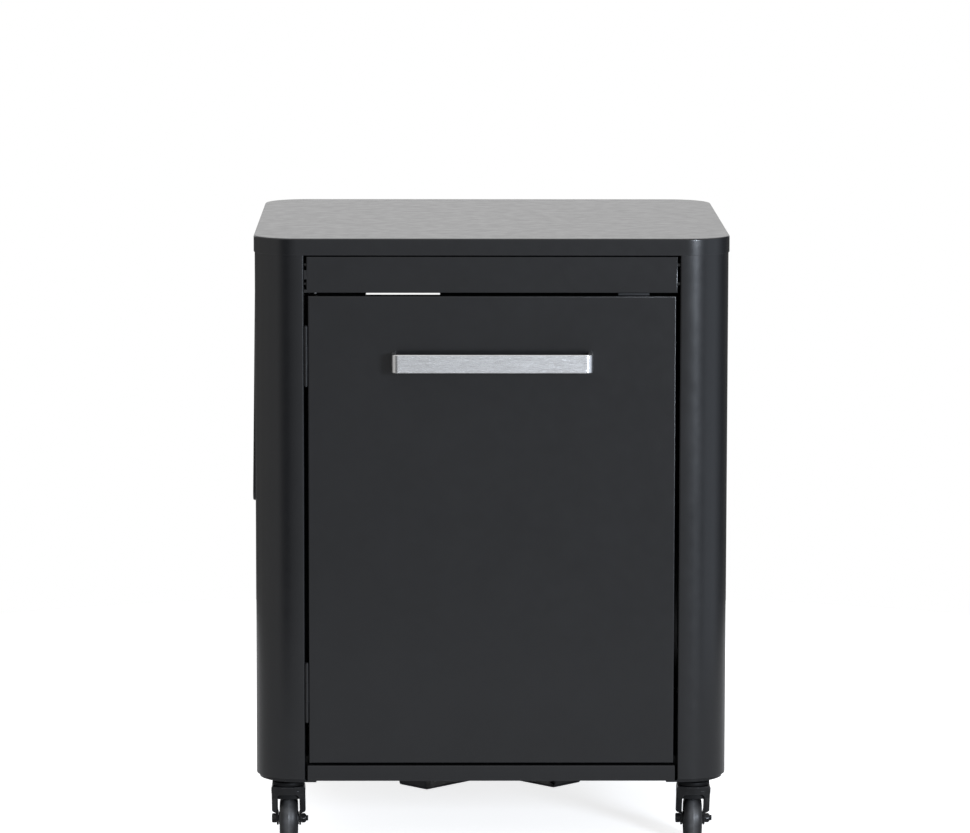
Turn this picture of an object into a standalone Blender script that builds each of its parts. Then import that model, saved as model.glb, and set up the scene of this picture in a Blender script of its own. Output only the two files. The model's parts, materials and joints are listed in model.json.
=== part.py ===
# Grill cart: a sheet steel cabinet on four swivel castors, with a hinged front door, a gas bottle
# cradle under its floor and a folding side shelf on its left side.
# Metres, +Z up, the front faces -Y. The origin is on the ground, under the middle of the cart's box.
import math

import bmesh
import bpy
from mathutils import Matrix, Vector

# Clearances
SEAT_GAP = 0.0003        # between two pieces that touch
PIN_CLEARANCE = 0.0004   # round a pin, all round

# Worktop
TOP_WIDTH = 0.640
TOP_DEPTH = 0.600
CORNER_RADIUS = 0.060
SKIRT_HEIGHT = 0.0224
TOP_SHEET = 0.0010
TOP_BEND = 0.0022

# Cabinet
CABINET_HEIGHT = 0.7385   # underside of the feet to the worktop's upper face
COLUMN_FACE = 0.0672      # width of a column seen square on
COLUMN_SHEET = 0.0012
COLUMN_BEND = 0.0020
FRONT_RETURN = 0.020      # lips that the columns turn inwards beside the door and the rear panel
SIDE_RETURN = 0.0297      # lips that carry the recessed side panels
PANEL_SHEET = 0.0010
PANEL_BEND = 0.0018
SIDE_PANEL_LAP = 0.018
SIDE_PANEL_LIP = 0.012
REAR_PANEL_LIP = 0.015
HOSE_OPENING_WIDTH = 0.1074
HOSE_OPENING_HEIGHT = 0.060
HOSE_OPENING_RADIUS = 0.012
HOSE_OPENING_X = -0.1226
HOSE_OPENING_DROP = 0.140  # its middle below the worktop's upper face

# Front rail
RAIL_DROP = 0.0729        # its lower edge below the worktop's upper face
RAIL_DEPTH = 0.030
RAIL_END_GAP = 0.0035
RAIL_TOP_GAP = 0.0016     # under the worktop's skirt
RAIL_SPACER_RADIUS = 0.0028
RAIL_SPACER_DEPTH = 0.0090   # its middle behind the rail's face
RAIL_SPACER_SPREAD = 0.0127  # above and below the rail's middle

# Floor panel
FLOOR_RISE = 0.0239       # its upper face above the underside of the feet
FLOOR_LIP = 0.0212
FLOOR_SHEET = 0.0012

# Bottle cradle: two crossed straps under a round cut-out in the floor
BOTTLE_HOLE_RADIUS = 0.150
BOTTLE_HOLE_Y = -0.040
CRADLE_DEPTH = 0.0615     # floor's upper face to the underside of the lower strap
STRAP_WIDTH = 0.050
STRAP_THICKNESS = 0.0025
STRAP_BEND = 0.005
STRAP_FLANGE = 0.022

# Feet, one under each column
FOOT_INSET = 0.0042       # in from the column's outer faces
FOOT_BASE = 0.0024
FOOT_PAD = 0.0022
FOOT_REACH = 0.0150       # how far the base runs past the column's inner edge
FOOT_BOSS = 0.0090
FOOT_BOSS_SIZE = 0.040

# Door
DOOR_SIDE_GAP = 0.0055
DOOR_TOP_GAP = 0.0042
DOOR_BOTTOM_GAP = 0.0033
DOOR_THICKNESS = 0.020

# Door handle, a bent flat bar
HANDLE_LENGTH = 0.269
HANDLE_HEIGHT = 0.0248
HANDLE_THICKNESS = 0.006
HANDLE_STAND = 0.032      # door face to the bar's front
HANDLE_BEND = 0.009
HANDLE_EDGE = 0.0008
HANDLE_DROP = 0.1648      # its middle below the worktop's upper face
SCREW_RADIUS = 0.0018
SCREW_HEAD_RADIUS = 0.0040
SCREW_HEAD_HEIGHT = 0.0025
SCREW_HEAD_FLAT = 0.7     # the head's flat top, as a share of its width
SCREW_GRIP = 0.012

# Door hinges
HINGE_HEIGHT = 0.080
HINGE_LEAF_DEPTH = 0.017
HINGE_LEAF_SHEET = 0.0012
HINGE_KNUCKLE_RADIUS = 0.0023
HINGE_PIN_RADIUS = 0.0010
HINGE_PIN_HEAD = 0.0019
HINGE_PIN_HEAD_HEIGHT = 0.0008
HINGE_AXIS_DEPTH = 0.0015  # behind the door's face
HINGE_KNUCKLE_GAP = 0.0004
UPPER_HINGE_INSET = 0.0809  # middle of the upper hinge below the door's upper edge
LOWER_HINGE_INSET = 0.0963  # middle of the lower hinge above the door's lower edge

# Magnetic door catch
CATCH_LENGTH = 0.042
CATCH_DEPTH = 0.013
CATCH_HEIGHT = 0.014
CATCH_INSET = 0.056       # its middle in from the door's free edge
CATCH_EDGE = 0.0012
CATCH_CORNER = 0.0024
STRIKE_LENGTH = 0.036
STRIKE_HEIGHT = 0.014
STRIKE_DEPTH = 0.012
STRIKE_SHEET = 0.0012
STRIKE_BEND = 0.0018

# Side shelf, hung at its upper edge and leaning out a little at its lower one
SHELF_LEAN = math.radians(0.75)
SHELF_DROP = 0.328        # hinge axis to the free edge
SHELF_OVER = 0.0095       # hinge axis to the edge beside it
SHELF_END_GAP = 0.005     # to the columns' side lips
SHELF_THICKNESS = 0.016
SHELF_SHEET = 0.0010
SHELF_BEND = 0.0020
SHELF_CORNER_RADIUS = 0.014
SHELF_AXIS_DEPTH = 0.0100  # behind the shelf's outer face
SHELF_AXIS_DROP = 0.0370  # below the worktop's upper face
SHELF_NOTCH = 0.0115      # cut in the lip beside the hinge axis, at each end
SHELF_PIN_RADIUS = 0.0030
SHELF_PIN_HEAD_RADIUS = 0.0055
SHELF_PIN_HEAD_HEIGHT = 0.0020
SHELF_PIN_NUT_RADIUS = 0.0050
SHELF_PIN_NUT_HEIGHT = 0.0040
BRACKET_SHEET = 0.0020
BRACKET_EYE_RADIUS = 0.0068
BRACKET_HEIGHT = 0.030
BRACKET_FLANGE = 0.022

# Shelf stay, a wire bail that swings out under the raised shelf
STAY_WIRE_RADIUS = 0.0030
STAY_DROP = 0.120         # shelf axis to the stay's own axis
STAY_REACH = 0.195
STAY_END_GAP = 0.0315     # to the columns' side lips
STAY_BEND = 0.006
STAY_STUB = 0.013
STAY_AXIS_INSET = 0.0073  # in front of the side panel
STAY_BRACKET_OFFSET = 0.007
STAY_BRACKET_HEIGHT = 0.026
STAY_EYE_RADIUS = 0.0058

# Castors
CASTOR_INSET = 0.0432     # swivel axis in from the columns' outer faces
CASTOR_TRAIL = 0.022
WHEEL_RADIUS = 0.0315
TYRE_HALF_WIDTH = 0.0122
TYRE_BORE_RADIUS = 0.0225
TYRE_SHOULDER = 0.0055
HUB_HALF_WIDTH = 0.0136
HUB_RADIUS = 0.0090
WEB_HALF_WIDTH = 0.0045
RIM_RADIUS = 0.0190
RIM_HALF_WIDTH = 0.0105
AXLE_RADIUS = 0.0040
AXLE_HEAD_RADIUS = 0.0068
AXLE_HEAD_HEIGHT = 0.0066
AXLE_NUT_HEIGHT = 0.0065
AXLE_TAIL = 0.0030
FORK_RISE = 0.0518        # axle to the crown's upper face
FORK_SHEET = 0.0024
FORK_CROWN_HALF_WIDTH = 0.0229
FORK_SHOULDER = 0.0036
FORK_LEG_GAP = 0.0005     # hub face to the leg
FORK_LEG_END_RADIUS = 0.0092
FORK_ROOT_HALF_DEPTH = 0.0120
FORK_CROWN_BULGE = 0.0090
FORK_LIP_HEIGHT = 0.0115
FORK_STRAIGHT_RISE = 0.0072  # above the axle, where the flat seat of the bolt's head ends
FORK_FLARE_RISE = 0.0115     # above the axle, where the legs are as far apart as the crown is wide
FORK_EDGE_STEP = 0.0009      # how much farther out than the seat a leg's folded-in edges are
FORK_EDGE_RUN = 0.0045       # below the lip, the length over which the edges fold in
FORK_EDGE_SHARE = 0.24       # width of each folded-in edge, as a share of the leg's width
FORK_END_SHARES = (1.0, 0.8, 0.45, 0.0)  # levels of the rounded leg end, as shares of its radius
FORK_END_TIP = 0.25       # width left at the very end, as a share of its radius
CUP_RADIUS = 0.0218
CUP_HEIGHT = 0.0053
CUP_SHOULDER = 0.0014
COLLAR_RADIUS = 0.0120
COLLAR_HEIGHT = 0.0042
STEM_RADIUS = 0.0050
STEM_NUT_RADIUS = 0.0085
STEM_NUT_HEIGHT = 0.0080
STEM_TAIL = 0.0040
KINGPIN_HEAD_RADIUS = 0.0080
KINGPIN_HEAD_HEIGHT = 0.0026

# How finely round shapes are divided
CORNER_STEPS = 10
SMALL_CORNER_STEPS = 5
BEND_STEPS = 3
SHOULDER_STEPS = 2
BOW_STEPS = 4
HOLE_STEPS = 48
TYRE_STEPS = 26
HUB_STEPS = 20
ROUND_STEPS = 14
SMALL_STEPS = 12

# Levels, worked out upwards from the ground
AXLE_Z = WHEEL_RADIUS
CROWN_TOP = AXLE_Z + FORK_RISE
CUP_BOTTOM = CROWN_TOP + SEAT_GAP
CUP_TOP = CUP_BOTTOM + CUP_HEIGHT
COLLAR_TOP = CUP_TOP + COLLAR_HEIGHT
FOOT_BOTTOM = COLLAR_TOP + SEAT_GAP
COLUMN_BOTTOM = FOOT_BOTTOM + FOOT_BASE + FOOT_PAD + SEAT_GAP
BOSS_TOP = FOOT_BOTTOM + FOOT_BASE + FOOT_PAD + FOOT_BOSS
TOP_Z = FOOT_BOTTOM + CABINET_HEIGHT
COLUMN_TOP = TOP_Z - TOP_BEND
FLOOR_TOP = FOOT_BOTTOM + FLOOR_RISE
RAIL_BOTTOM = TOP_Z - RAIL_DROP
RAIL_TOP = TOP_Z - SKIRT_HEIGHT - RAIL_TOP_GAP
DOOR_TOP = RAIL_BOTTOM - DOOR_TOP_GAP
DOOR_BOTTOM = FLOOR_TOP + DOOR_BOTTOM_GAP
SHELF_AXIS_Z = TOP_Z - SHELF_AXIS_DROP
STAY_AXIS_Z = SHELF_AXIS_Z - STAY_DROP

# Plan sizes, worked out from the worktop's edge inwards
COLUMN_INSET = TOP_SHEET + SEAT_GAP
FACE_X = TOP_WIDTH / 2 - COLUMN_INSET
FACE_Y = TOP_DEPTH / 2 - COLUMN_INSET
COLUMN_RADIUS = CORNER_RADIUS - COLUMN_INSET
INNER_X = FACE_X - COLUMN_FACE
INNER_Y = FACE_Y - COLUMN_FACE
SIDE_PANEL_X = FACE_X - SIDE_RETURN - SEAT_GAP
DOOR_HALF_WIDTH = INNER_X - DOOR_SIDE_GAP
HINGE_AXIS_X = -(INNER_X + DOOR_HALF_WIDTH) / 2
HINGE_AXIS_Y = -FACE_Y + HINGE_AXIS_DEPTH
SHELF_AXIS_X = -FACE_X + SHELF_AXIS_DEPTH
SHELF_HALF_LENGTH = INNER_Y - SHELF_END_GAP
STAY_AXIS_X = -SIDE_PANEL_X - STAY_AXIS_INSET
CASTOR_X = FACE_X - CASTOR_INSET
CASTOR_Y = FACE_Y - CASTOR_INSET
FORK_LEG_HALF_WIDTH = HUB_HALF_WIDTH + FORK_LEG_GAP + FORK_SHEET
STAY_HALF_WIDTH = INNER_Y - STAY_END_GAP
HANDLE_FRONT_Y = -FACE_Y - HANDLE_STAND
CATCH_X = DOOR_HALF_WIDTH - CATCH_INSET
UPPER_HINGE_Z = DOOR_TOP - UPPER_HINGE_INSET
LOWER_HINGE_Z = DOOR_BOTTOM + LOWER_HINGE_INSET

# The cart's box, whose middle is the origin
SHELF_REACH = (
    -SHELF_AXIS_X
    + SHELF_AXIS_DEPTH * math.cos(SHELF_LEAN)
    + (SHELF_DROP - SHELF_BEND) * math.sin(SHELF_LEAN)
)
ORIGIN_SHIFT = Vector(((SHELF_REACH - TOP_WIDTH / 2) / 2, (-HANDLE_FRONT_Y - TOP_DEPTH / 2) / 2, 0.0))

CORNERS = {
    "front_left": (-1, -1),
    "front_right": (1, -1),
    "rear_left": (-1, 1),
    "rear_right": (1, 1),
}


# Scene and materials

def clear_scene():
    for item in list(bpy.data.objects):
        bpy.data.objects.remove(item, do_unlink=True)


def finish(name, colour, roughness, metallic):
    """A plain finish: a Principled BSDF with one colour."""
    material = bpy.data.materials.new(name)
    material.use_nodes = True
    shader = material.node_tree.nodes["Principled BSDF"]
    shader.inputs["Base Color"].default_value = (*colour, 1.0)
    shader.inputs["Roughness"].default_value = roughness
    shader.inputs["Metallic"].default_value = metallic
    return material


def anthracite(name):
    return finish(name, (0.032, 0.033, 0.035), 0.42, 0.0)


def brushed_steel(name):
    return finish(name, (0.62, 0.61, 0.60), 0.30, 1.0)


def zinc(name):
    return finish(name, (0.50, 0.51, 0.52), 0.38, 1.0)


def black_steel(name):
    return finish(name, (0.018, 0.018, 0.019), 0.35, 0.0)


def black_plastic(name):
    return finish(name, (0.020, 0.020, 0.021), 0.50, 0.0)


def grey_rubber(name):
    return finish(name, (0.085, 0.085, 0.088), 0.55, 0.0)


def add_piece(name, mesh, paint, parent, place=(0.0, 0.0, 0.0)):
    """One named solid, with a material of its own."""
    piece = bpy.data.objects.new(name, mesh)
    bpy.context.scene.collection.objects.link(piece)
    piece.parent = parent
    piece.location = place
    mesh.materials.append(paint(name))
    return piece


def add_pivot(name, parent, place):
    pivot = bpy.data.objects.new(name, None)
    bpy.context.scene.collection.objects.link(pivot)
    pivot.parent = parent
    pivot.location = place
    return pivot


# Outlines

def arc_points(centre, radius, start, end, steps):
    points = []
    for step in range(steps + 1):
        angle = math.radians(start + (end - start) * step / steps)
        points.append(Vector((centre[0] + radius * math.cos(angle), centre[1] + radius * math.sin(angle))))
    return points


def circle_outline(centre, radius, steps):
    return arc_points(centre, radius, 0, 360, steps)[:-1]


def rectangle(x0, x1, y0, y1, radii=(0.0, 0.0, 0.0, 0.0), steps=CORNER_STEPS):
    """Counter-clockwise from the lowest corner, with a radius for each corner."""
    corners = ((x0, y0, 1, 1, 180), (x1, y0, -1, 1, 270), (x1, y1, -1, -1, 0), (x0, y1, 1, -1, 90))
    outline = []
    for (x, y, inward_x, inward_y, start), radius in zip(corners, radii):
        if radius:
            centre = (x + inward_x * radius, y + inward_y * radius)
            outline += arc_points(centre, radius, start, start + 90, steps)
        else:
            outline.append(Vector((x, y)))
    return outline


def filleted(points, radii, steps=BEND_STEPS):
    """A path through the points, with an arc in place of each inner corner."""
    points = [Vector(point) for point in points]
    path = [points[0]]
    for before, corner, after, radius in zip(points, points[1:], points[2:], radii):
        arriving = (corner - before).normalized()
        leaving = (after - corner).normalized()
        half_turn = arriving.angle(leaving) / 2
        start = corner - arriving * radius * math.tan(half_turn)
        end = corner + leaving * radius * math.tan(half_turn)
        centre = corner + (leaving - arriving).normalized() * radius / math.cos(half_turn)
        for step in range(steps + 1):
            share = step / steps
            lead = math.sin((1 - share) * 2 * half_turn)
            trail = math.sin(share * 2 * half_turn)
            offset = ((start - centre) * lead + (end - centre) * trail) / math.sin(2 * half_turn)
            path.append(centre + offset)
    path.append(points[-1])
    return path


def left_of(direction):
    return Vector((-direction.y, direction.x))


def offset_outline(outline, inset):
    """A counter-clockwise outline moved inwards, with mitred corners."""
    moved = []
    count = len(outline)
    for index, point in enumerate(outline):
        arriving = left_of((point - outline[index - 1]).normalized())
        leaving = left_of((outline[(index + 1) % count] - point).normalized())
        moved.append(point + (arriving + leaving) * inset / (1 + arriving.dot(leaving)))
    return moved


def strip_outline(path, thickness):
    """The closed outline of a strip whose left side lies thickness away from the path."""
    other_side = []
    for index, point in enumerate(path):
        arriving = left_of((point - path[max(index - 1, 0)]).normalized()) if index else None
        leaving = left_of((path[index + 1] - point).normalized()) if index + 1 < len(path) else None
        arriving = arriving or leaving
        leaving = leaving or arriving
        other_side.append(point + (arriving + leaving) * thickness / (1 + arriving.dot(leaving)))
    return path + other_side[::-1]


# Solids

def closed_mesh(shape, smooth_angle=None):
    bmesh.ops.recalc_face_normals(shape, faces=shape.faces)
    mesh = bpy.data.meshes.new("solid")
    shape.to_mesh(mesh)
    shape.free()
    if smooth_angle:
        shade_smooth(mesh, smooth_angle)
    return mesh


def shade_smooth(mesh, angle=30):
    mesh.shade_smooth()
    mesh.set_sharp_from_angle(angle=math.radians(angle))


def ring_mesh(rings, closed_loop=False, smooth_angle=None):
    """A skin through rings of points, capped at both ends or joined end to end."""
    shape = bmesh.new()
    rows = [[shape.verts.new(point) for point in ring] for ring in rings]
    count = len(rows[0])
    pairs = list(zip(rows, rows[1:]))
    if closed_loop:
        pairs.append((rows[-1], rows[0]))
    else:
        shape.faces.new(rows[0])
        shape.faces.new(rows[-1])
    for lower, upper in pairs:
        for index in range(count):
            following = (index + 1) % count
            shape.faces.new((lower[index], lower[following], upper[following], upper[index]))
    return closed_mesh(shape, smooth_angle)


def prism(outline, low, high, smooth_angle=None):
    rings = [[(point.x, point.y, z) for point in outline] for z in (low, high)]
    return ring_mesh(rings, smooth_angle=smooth_angle)


def cylinder(centre, radius, low, high, steps):
    return prism(circle_outline(centre, radius, steps), low, high)


def box(x0, x1, y0, y1, z0, z1):
    return prism(rectangle(x0, x1, y0, y1), z0, z1)


def tray(outline, depth, sheet, bend):
    """Pressed sheet: a flat face at z = 0 whose edges turn down by depth round a bend."""
    inner_bend = bend - sheet
    quarter = [math.pi / 2 * step / BEND_STEPS for step in range(BEND_STEPS + 1)]
    section = [(bend * (1 - math.sin(angle)), -bend * (1 - math.cos(angle))) for angle in quarter]
    section += [(0.0, -depth), (sheet, -depth)]
    section += [
        (bend - inner_bend * math.sin(angle), -bend + inner_bend * math.cos(angle))
        for angle in reversed(quarter)
    ]
    rings = [[(point.x, point.y, z) for point in offset_outline(outline, inset)] for inset, z in section]
    return ring_mesh(rings, smooth_angle=40)


def lathe(profile, steps, smooth_angle=32):
    """A closed profile of (radius, height) turned round the Z axis, clear of it."""
    rings = []
    for step in range(steps):
        angle = 2 * math.pi * step / steps
        rings.append([(r * math.cos(angle), r * math.sin(angle), z) for r, z in profile])
    return ring_mesh(rings, closed_loop=True, smooth_angle=smooth_angle)


def turned(profile, steps, smooth_angle=32):
    """A solid of revolution whose (radius, height) profile starts and ends on the Z axis."""
    shape = bmesh.new()
    first = shape.verts.new((0.0, 0.0, profile[0][1]))
    last = shape.verts.new((0.0, 0.0, profile[-1][1]))
    rows = []
    for radius, z in profile[1:-1]:
        angles = [2 * math.pi * step / steps for step in range(steps)]
        rows.append([shape.verts.new((radius * math.cos(a), radius * math.sin(a), z)) for a in angles])
    for index in range(steps):
        following = (index + 1) % steps
        shape.faces.new((first, rows[0][index], rows[0][following]))
        shape.faces.new((last, rows[-1][following], rows[-1][index]))
        for lower, upper in zip(rows, rows[1:]):
            shape.faces.new((lower[index], upper[index], upper[following], lower[following]))
    return closed_mesh(shape, smooth_angle)


def moved(mesh, matrix):
    mesh.transform(matrix)
    if matrix.determinant() < 0:
        mesh.flip_normals()
    return mesh


def combined(pieces, cutters=(), smooth_angle=None):
    """One solid: the union of the pieces, less the cutters."""
    body = bpy.data.objects.new("body", pieces[0])
    bpy.context.scene.collection.objects.link(body)
    helpers = []
    steps = [("UNION", mesh) for mesh in pieces[1:]] + [("DIFFERENCE", mesh) for mesh in cutters]
    for operation, mesh in steps:
        helper = bpy.data.objects.new("helper", mesh)
        bpy.context.scene.collection.objects.link(helper)
        modifier = body.modifiers.new(operation, "BOOLEAN")
        modifier.operation = operation
        modifier.solver = "EXACT"
        modifier.object = helper
        helpers.append(helper)
    bpy.context.view_layer.update()
    result = bpy.data.meshes.new_from_object(body.evaluated_get(bpy.context.evaluated_depsgraph_get()))
    for item in [body, *helpers]:
        bpy.data.objects.remove(item, do_unlink=True)
    if smooth_angle:
        shade_smooth(result, smooth_angle)
    return result


# Matrices that stand a tray's flat face up, to face one side of the cart
FACING_FRONT = Matrix(((1, 0, 0, 0), (0, 0, -1, 0), (0, 1, 0, 0), (0, 0, 0, 1)))
FACING_REAR = Matrix(((-1, 0, 0, 0), (0, 0, 1, 0), (0, 1, 0, 0), (0, 0, 0, 1)))
FACING_LEFT = Matrix(((0, 0, -1, 0), (-1, 0, 0, 0), (0, 1, 0, 0), (0, 0, 0, 1)))
ALONG_X = Matrix(((0, 0, 1, 0), (0, 1, 0, 0), (-1, 0, 0, 0), (0, 0, 0, 1)))
ALONG_Y = Matrix(((1, 0, 0, 0), (0, 0, 1, 0), (0, -1, 0, 0), (0, 0, 0, 1)))


# Worktop and cabinet

def worktop():
    half_width = TOP_WIDTH / 2
    half_depth = TOP_DEPTH / 2
    outline = rectangle(-half_width, half_width, -half_depth, half_depth, (CORNER_RADIUS,) * 4)
    mesh = tray(outline, SKIRT_HEIGHT, TOP_SHEET, TOP_BEND)
    return moved(mesh, Matrix.Translation((0.0, 0.0, TOP_Z)))


def column(side_x, side_y):
    """A quarter-round corner column, with a lip turned inwards along each edge."""
    corners = [
        (-INNER_X, -FACE_Y + FRONT_RETURN),
        (-INNER_X, -FACE_Y),
        (-FACE_X + COLUMN_RADIUS, -FACE_Y),
    ]
    start = filleted(corners, (COLUMN_BEND,))[:-1]
    centre = (-FACE_X + COLUMN_RADIUS, -FACE_Y + COLUMN_RADIUS)
    curve = arc_points(centre, COLUMN_RADIUS, 270, 180, CORNER_STEPS)
    corners = [
        (-FACE_X, -FACE_Y + COLUMN_RADIUS),
        (-FACE_X, -INNER_Y),
        (-FACE_X + SIDE_RETURN, -INNER_Y),
    ]
    end = filleted(corners, (COLUMN_BEND,))[1:]
    outline = strip_outline(start + curve + end, -COLUMN_SHEET)
    mesh = prism(outline, COLUMN_BOTTOM, COLUMN_TOP, smooth_angle=32)
    return moved(mesh, Matrix.Diagonal((-side_x, -side_y, 1, 1)))


def front_rail():
    """The rail over the door, with two spacers at each end that meet the columns' lips."""
    half_width = INNER_X - RAIL_END_GAP
    outline = rectangle(-half_width, half_width, RAIL_BOTTOM, RAIL_TOP)
    mesh = tray(outline, RAIL_DEPTH, PANEL_SHEET, PANEL_BEND)
    pieces = [moved(mesh, Matrix.Translation((0.0, -FACE_Y, 0.0)) @ FACING_FRONT)]
    for side in (-1, 1):
        ends = sorted((side * (half_width - PANEL_SHEET / 2), side * (INNER_X - SEAT_GAP)))
        for lift in (-RAIL_SPACER_SPREAD, RAIL_SPACER_SPREAD):
            spacer = moved(cylinder((0.0, 0.0), RAIL_SPACER_RADIUS, *ends, SMALL_STEPS), ALONG_X)
            place = (0.0, -FACE_Y + RAIL_SPACER_DEPTH, (RAIL_BOTTOM + RAIL_TOP) / 2 + lift)
            pieces.append(moved(spacer, Matrix.Translation(place)))
    return combined(pieces, smooth_angle=40)


def rear_panel():
    """The rear wall, with the opening that the gas hose passes through."""
    half_width = INNER_X - SEAT_GAP
    outline = rectangle(-half_width, half_width, FLOOR_TOP + SEAT_GAP, COLUMN_TOP)
    mesh = tray(outline, REAR_PANEL_LIP, PANEL_SHEET, PANEL_BEND)
    moved(mesh, Matrix.Translation((0.0, FACE_Y, 0.0)) @ FACING_REAR)
    middle = TOP_Z - HOSE_OPENING_DROP
    opening = rectangle(
        HOSE_OPENING_X - HOSE_OPENING_WIDTH / 2,
        HOSE_OPENING_X + HOSE_OPENING_WIDTH / 2,
        middle - HOSE_OPENING_HEIGHT / 2,
        middle + HOSE_OPENING_HEIGHT / 2,
        (HOSE_OPENING_RADIUS,) * 4,
        steps=SMALL_CORNER_STEPS,
    )
    cutter = moved(prism(opening, -REAR_PANEL_LIP, REAR_PANEL_LIP), FACING_FRONT)
    return combined([mesh], [moved(cutter, Matrix.Translation((0.0, FACE_Y, 0.0)))], smooth_angle=40)


def side_panel(side_x):
    half_length = INNER_Y + SIDE_PANEL_LAP
    outline = rectangle(-half_length, half_length, FLOOR_TOP + SEAT_GAP, COLUMN_TOP)
    mesh = tray(outline, SIDE_PANEL_LIP, PANEL_SHEET, PANEL_BEND)
    moved(mesh, Matrix.Translation((-SIDE_PANEL_X, 0.0, 0.0)) @ FACING_LEFT)
    return moved(mesh, Matrix.Diagonal((-side_x, 1, 1, 1)))


def floor_panel():
    """A cross-shaped pan between the columns, with the round cut-out for the bottle."""
    end_x = INNER_X - RAIL_END_GAP
    end_y = INNER_Y - RAIL_END_GAP
    outline = [
        (-end_x, -FACE_Y), (end_x, -FACE_Y), (end_x, -end_y), (FACE_X, -end_y),
        (FACE_X, end_y), (end_x, end_y), (end_x, FACE_Y), (-end_x, FACE_Y),
        (-end_x, end_y), (-FACE_X, end_y), (-FACE_X, -end_y), (-end_x, -end_y),
    ]
    mesh = tray([Vector(point) for point in outline], FLOOR_LIP, FLOOR_SHEET, PANEL_BEND)
    cutter = cylinder((0.0, BOTTLE_HOLE_Y), BOTTLE_HOLE_RADIUS, -FLOOR_LIP, FLOOR_LIP, HOLE_STEPS)
    mesh = combined([mesh], [cutter], smooth_angle=40)
    return moved(mesh, Matrix.Translation((0.0, 0.0, FLOOR_TOP)))


def cradle_strap(lift, turn):
    """A strap bent to a hat shape: flanges under the floor, two legs and a level bottom."""
    leg = BOTTLE_HOLE_RADIUS + SEAT_GAP + STRAP_THICKNESS
    under_floor = FLOOR_TOP - FLOOR_SHEET - SEAT_GAP
    bottom = FLOOR_TOP - CRADLE_DEPTH + lift
    corners = [
        (-leg - STRAP_FLANGE, under_floor - STRAP_THICKNESS),
        (-leg, under_floor - STRAP_THICKNESS),
        (-leg, bottom),
        (leg, bottom),
        (leg, under_floor - STRAP_THICKNESS),
        (leg + STRAP_FLANGE, under_floor - STRAP_THICKNESS),
    ]
    inner_bend = STRAP_BEND - STRAP_THICKNESS
    path = filleted(corners, (inner_bend, STRAP_BEND, STRAP_BEND, inner_bend))
    outline = strip_outline(path, STRAP_THICKNESS)
    mesh = moved(prism(outline, -STRAP_WIDTH / 2, STRAP_WIDTH / 2, smooth_angle=40), FACING_FRONT)
    return moved(mesh, Matrix.Translation((0.0, BOTTLE_HOLE_Y, 0.0)) @ Matrix.Rotation(turn, 4, "Z"))


def foot(side_x, side_y):
    """A stepped foot plate: a base, a pad under the column and a boss for the castor's stem."""
    outer_x = FACE_X - FOOT_INSET
    outer_y = FACE_Y - FOOT_INSET
    radii = (COLUMN_RADIUS - FOOT_INSET, 0.0, 0.0, 0.0)
    base = rectangle(-outer_x, -INNER_X + FOOT_REACH, -outer_y, -INNER_Y + FOOT_REACH, radii)
    pad = rectangle(-outer_x, -INNER_X, -outer_y, -INNER_Y, radii)
    half = FOOT_BOSS_SIZE / 2
    boss = rectangle(-CASTOR_X - half, -CASTOR_X + half, -CASTOR_Y - half, -CASTOR_Y + half)
    pad_top = COLUMN_BOTTOM - SEAT_GAP
    pieces = [
        prism(base, FOOT_BOTTOM, FOOT_BOTTOM + FOOT_BASE),
        prism(pad, FOOT_BOTTOM + FOOT_BASE / 2, pad_top),
        prism(boss, FOOT_BOTTOM + FOOT_BASE, BOSS_TOP),
    ]
    low = FOOT_BOTTOM - FOOT_BOSS
    high = BOSS_TOP + FOOT_BOSS
    stem_hole = cylinder((-CASTOR_X, -CASTOR_Y), STEM_RADIUS + PIN_CLEARANCE, low, high, ROUND_STEPS)
    mesh = combined(pieces, [stem_hole], smooth_angle=32)
    return moved(mesh, Matrix.Diagonal((-side_x, -side_y, 1, 1)))


# Door, with its origin on the hinge axis

def door_panel():
    left = -DOOR_HALF_WIDTH - HINGE_AXIS_X
    right = DOOR_HALF_WIDTH - HINGE_AXIS_X
    outline = rectangle(left, right, DOOR_BOTTOM, DOOR_TOP)
    mesh = tray(outline, DOOR_THICKNESS, PANEL_SHEET, PANEL_BEND)
    moved(mesh, Matrix.Translation((0.0, -FACE_Y - HINGE_AXIS_Y, 0.0)) @ FACING_FRONT)
    return combined([mesh], handle_screw_holes(), smooth_angle=40)


def handle_screw_place(side):
    """Where a handle screw crosses the door's face, from the hinge axis."""
    along = side * (HANDLE_LENGTH - HANDLE_THICKNESS) / 2
    return Vector((along - HINGE_AXIS_X, -FACE_Y - HINGE_AXIS_Y, TOP_Z - HANDLE_DROP))


def handle_screw_holes():
    holes = []
    for side in (-1, 1):
        hole = cylinder((0.0, 0.0), SCREW_RADIUS + PIN_CLEARANCE, -SCREW_GRIP, SCREW_GRIP, SMALL_STEPS)
        holes.append(moved(hole, Matrix.Translation(handle_screw_place(side)) @ ALONG_Y))
    return holes


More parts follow.
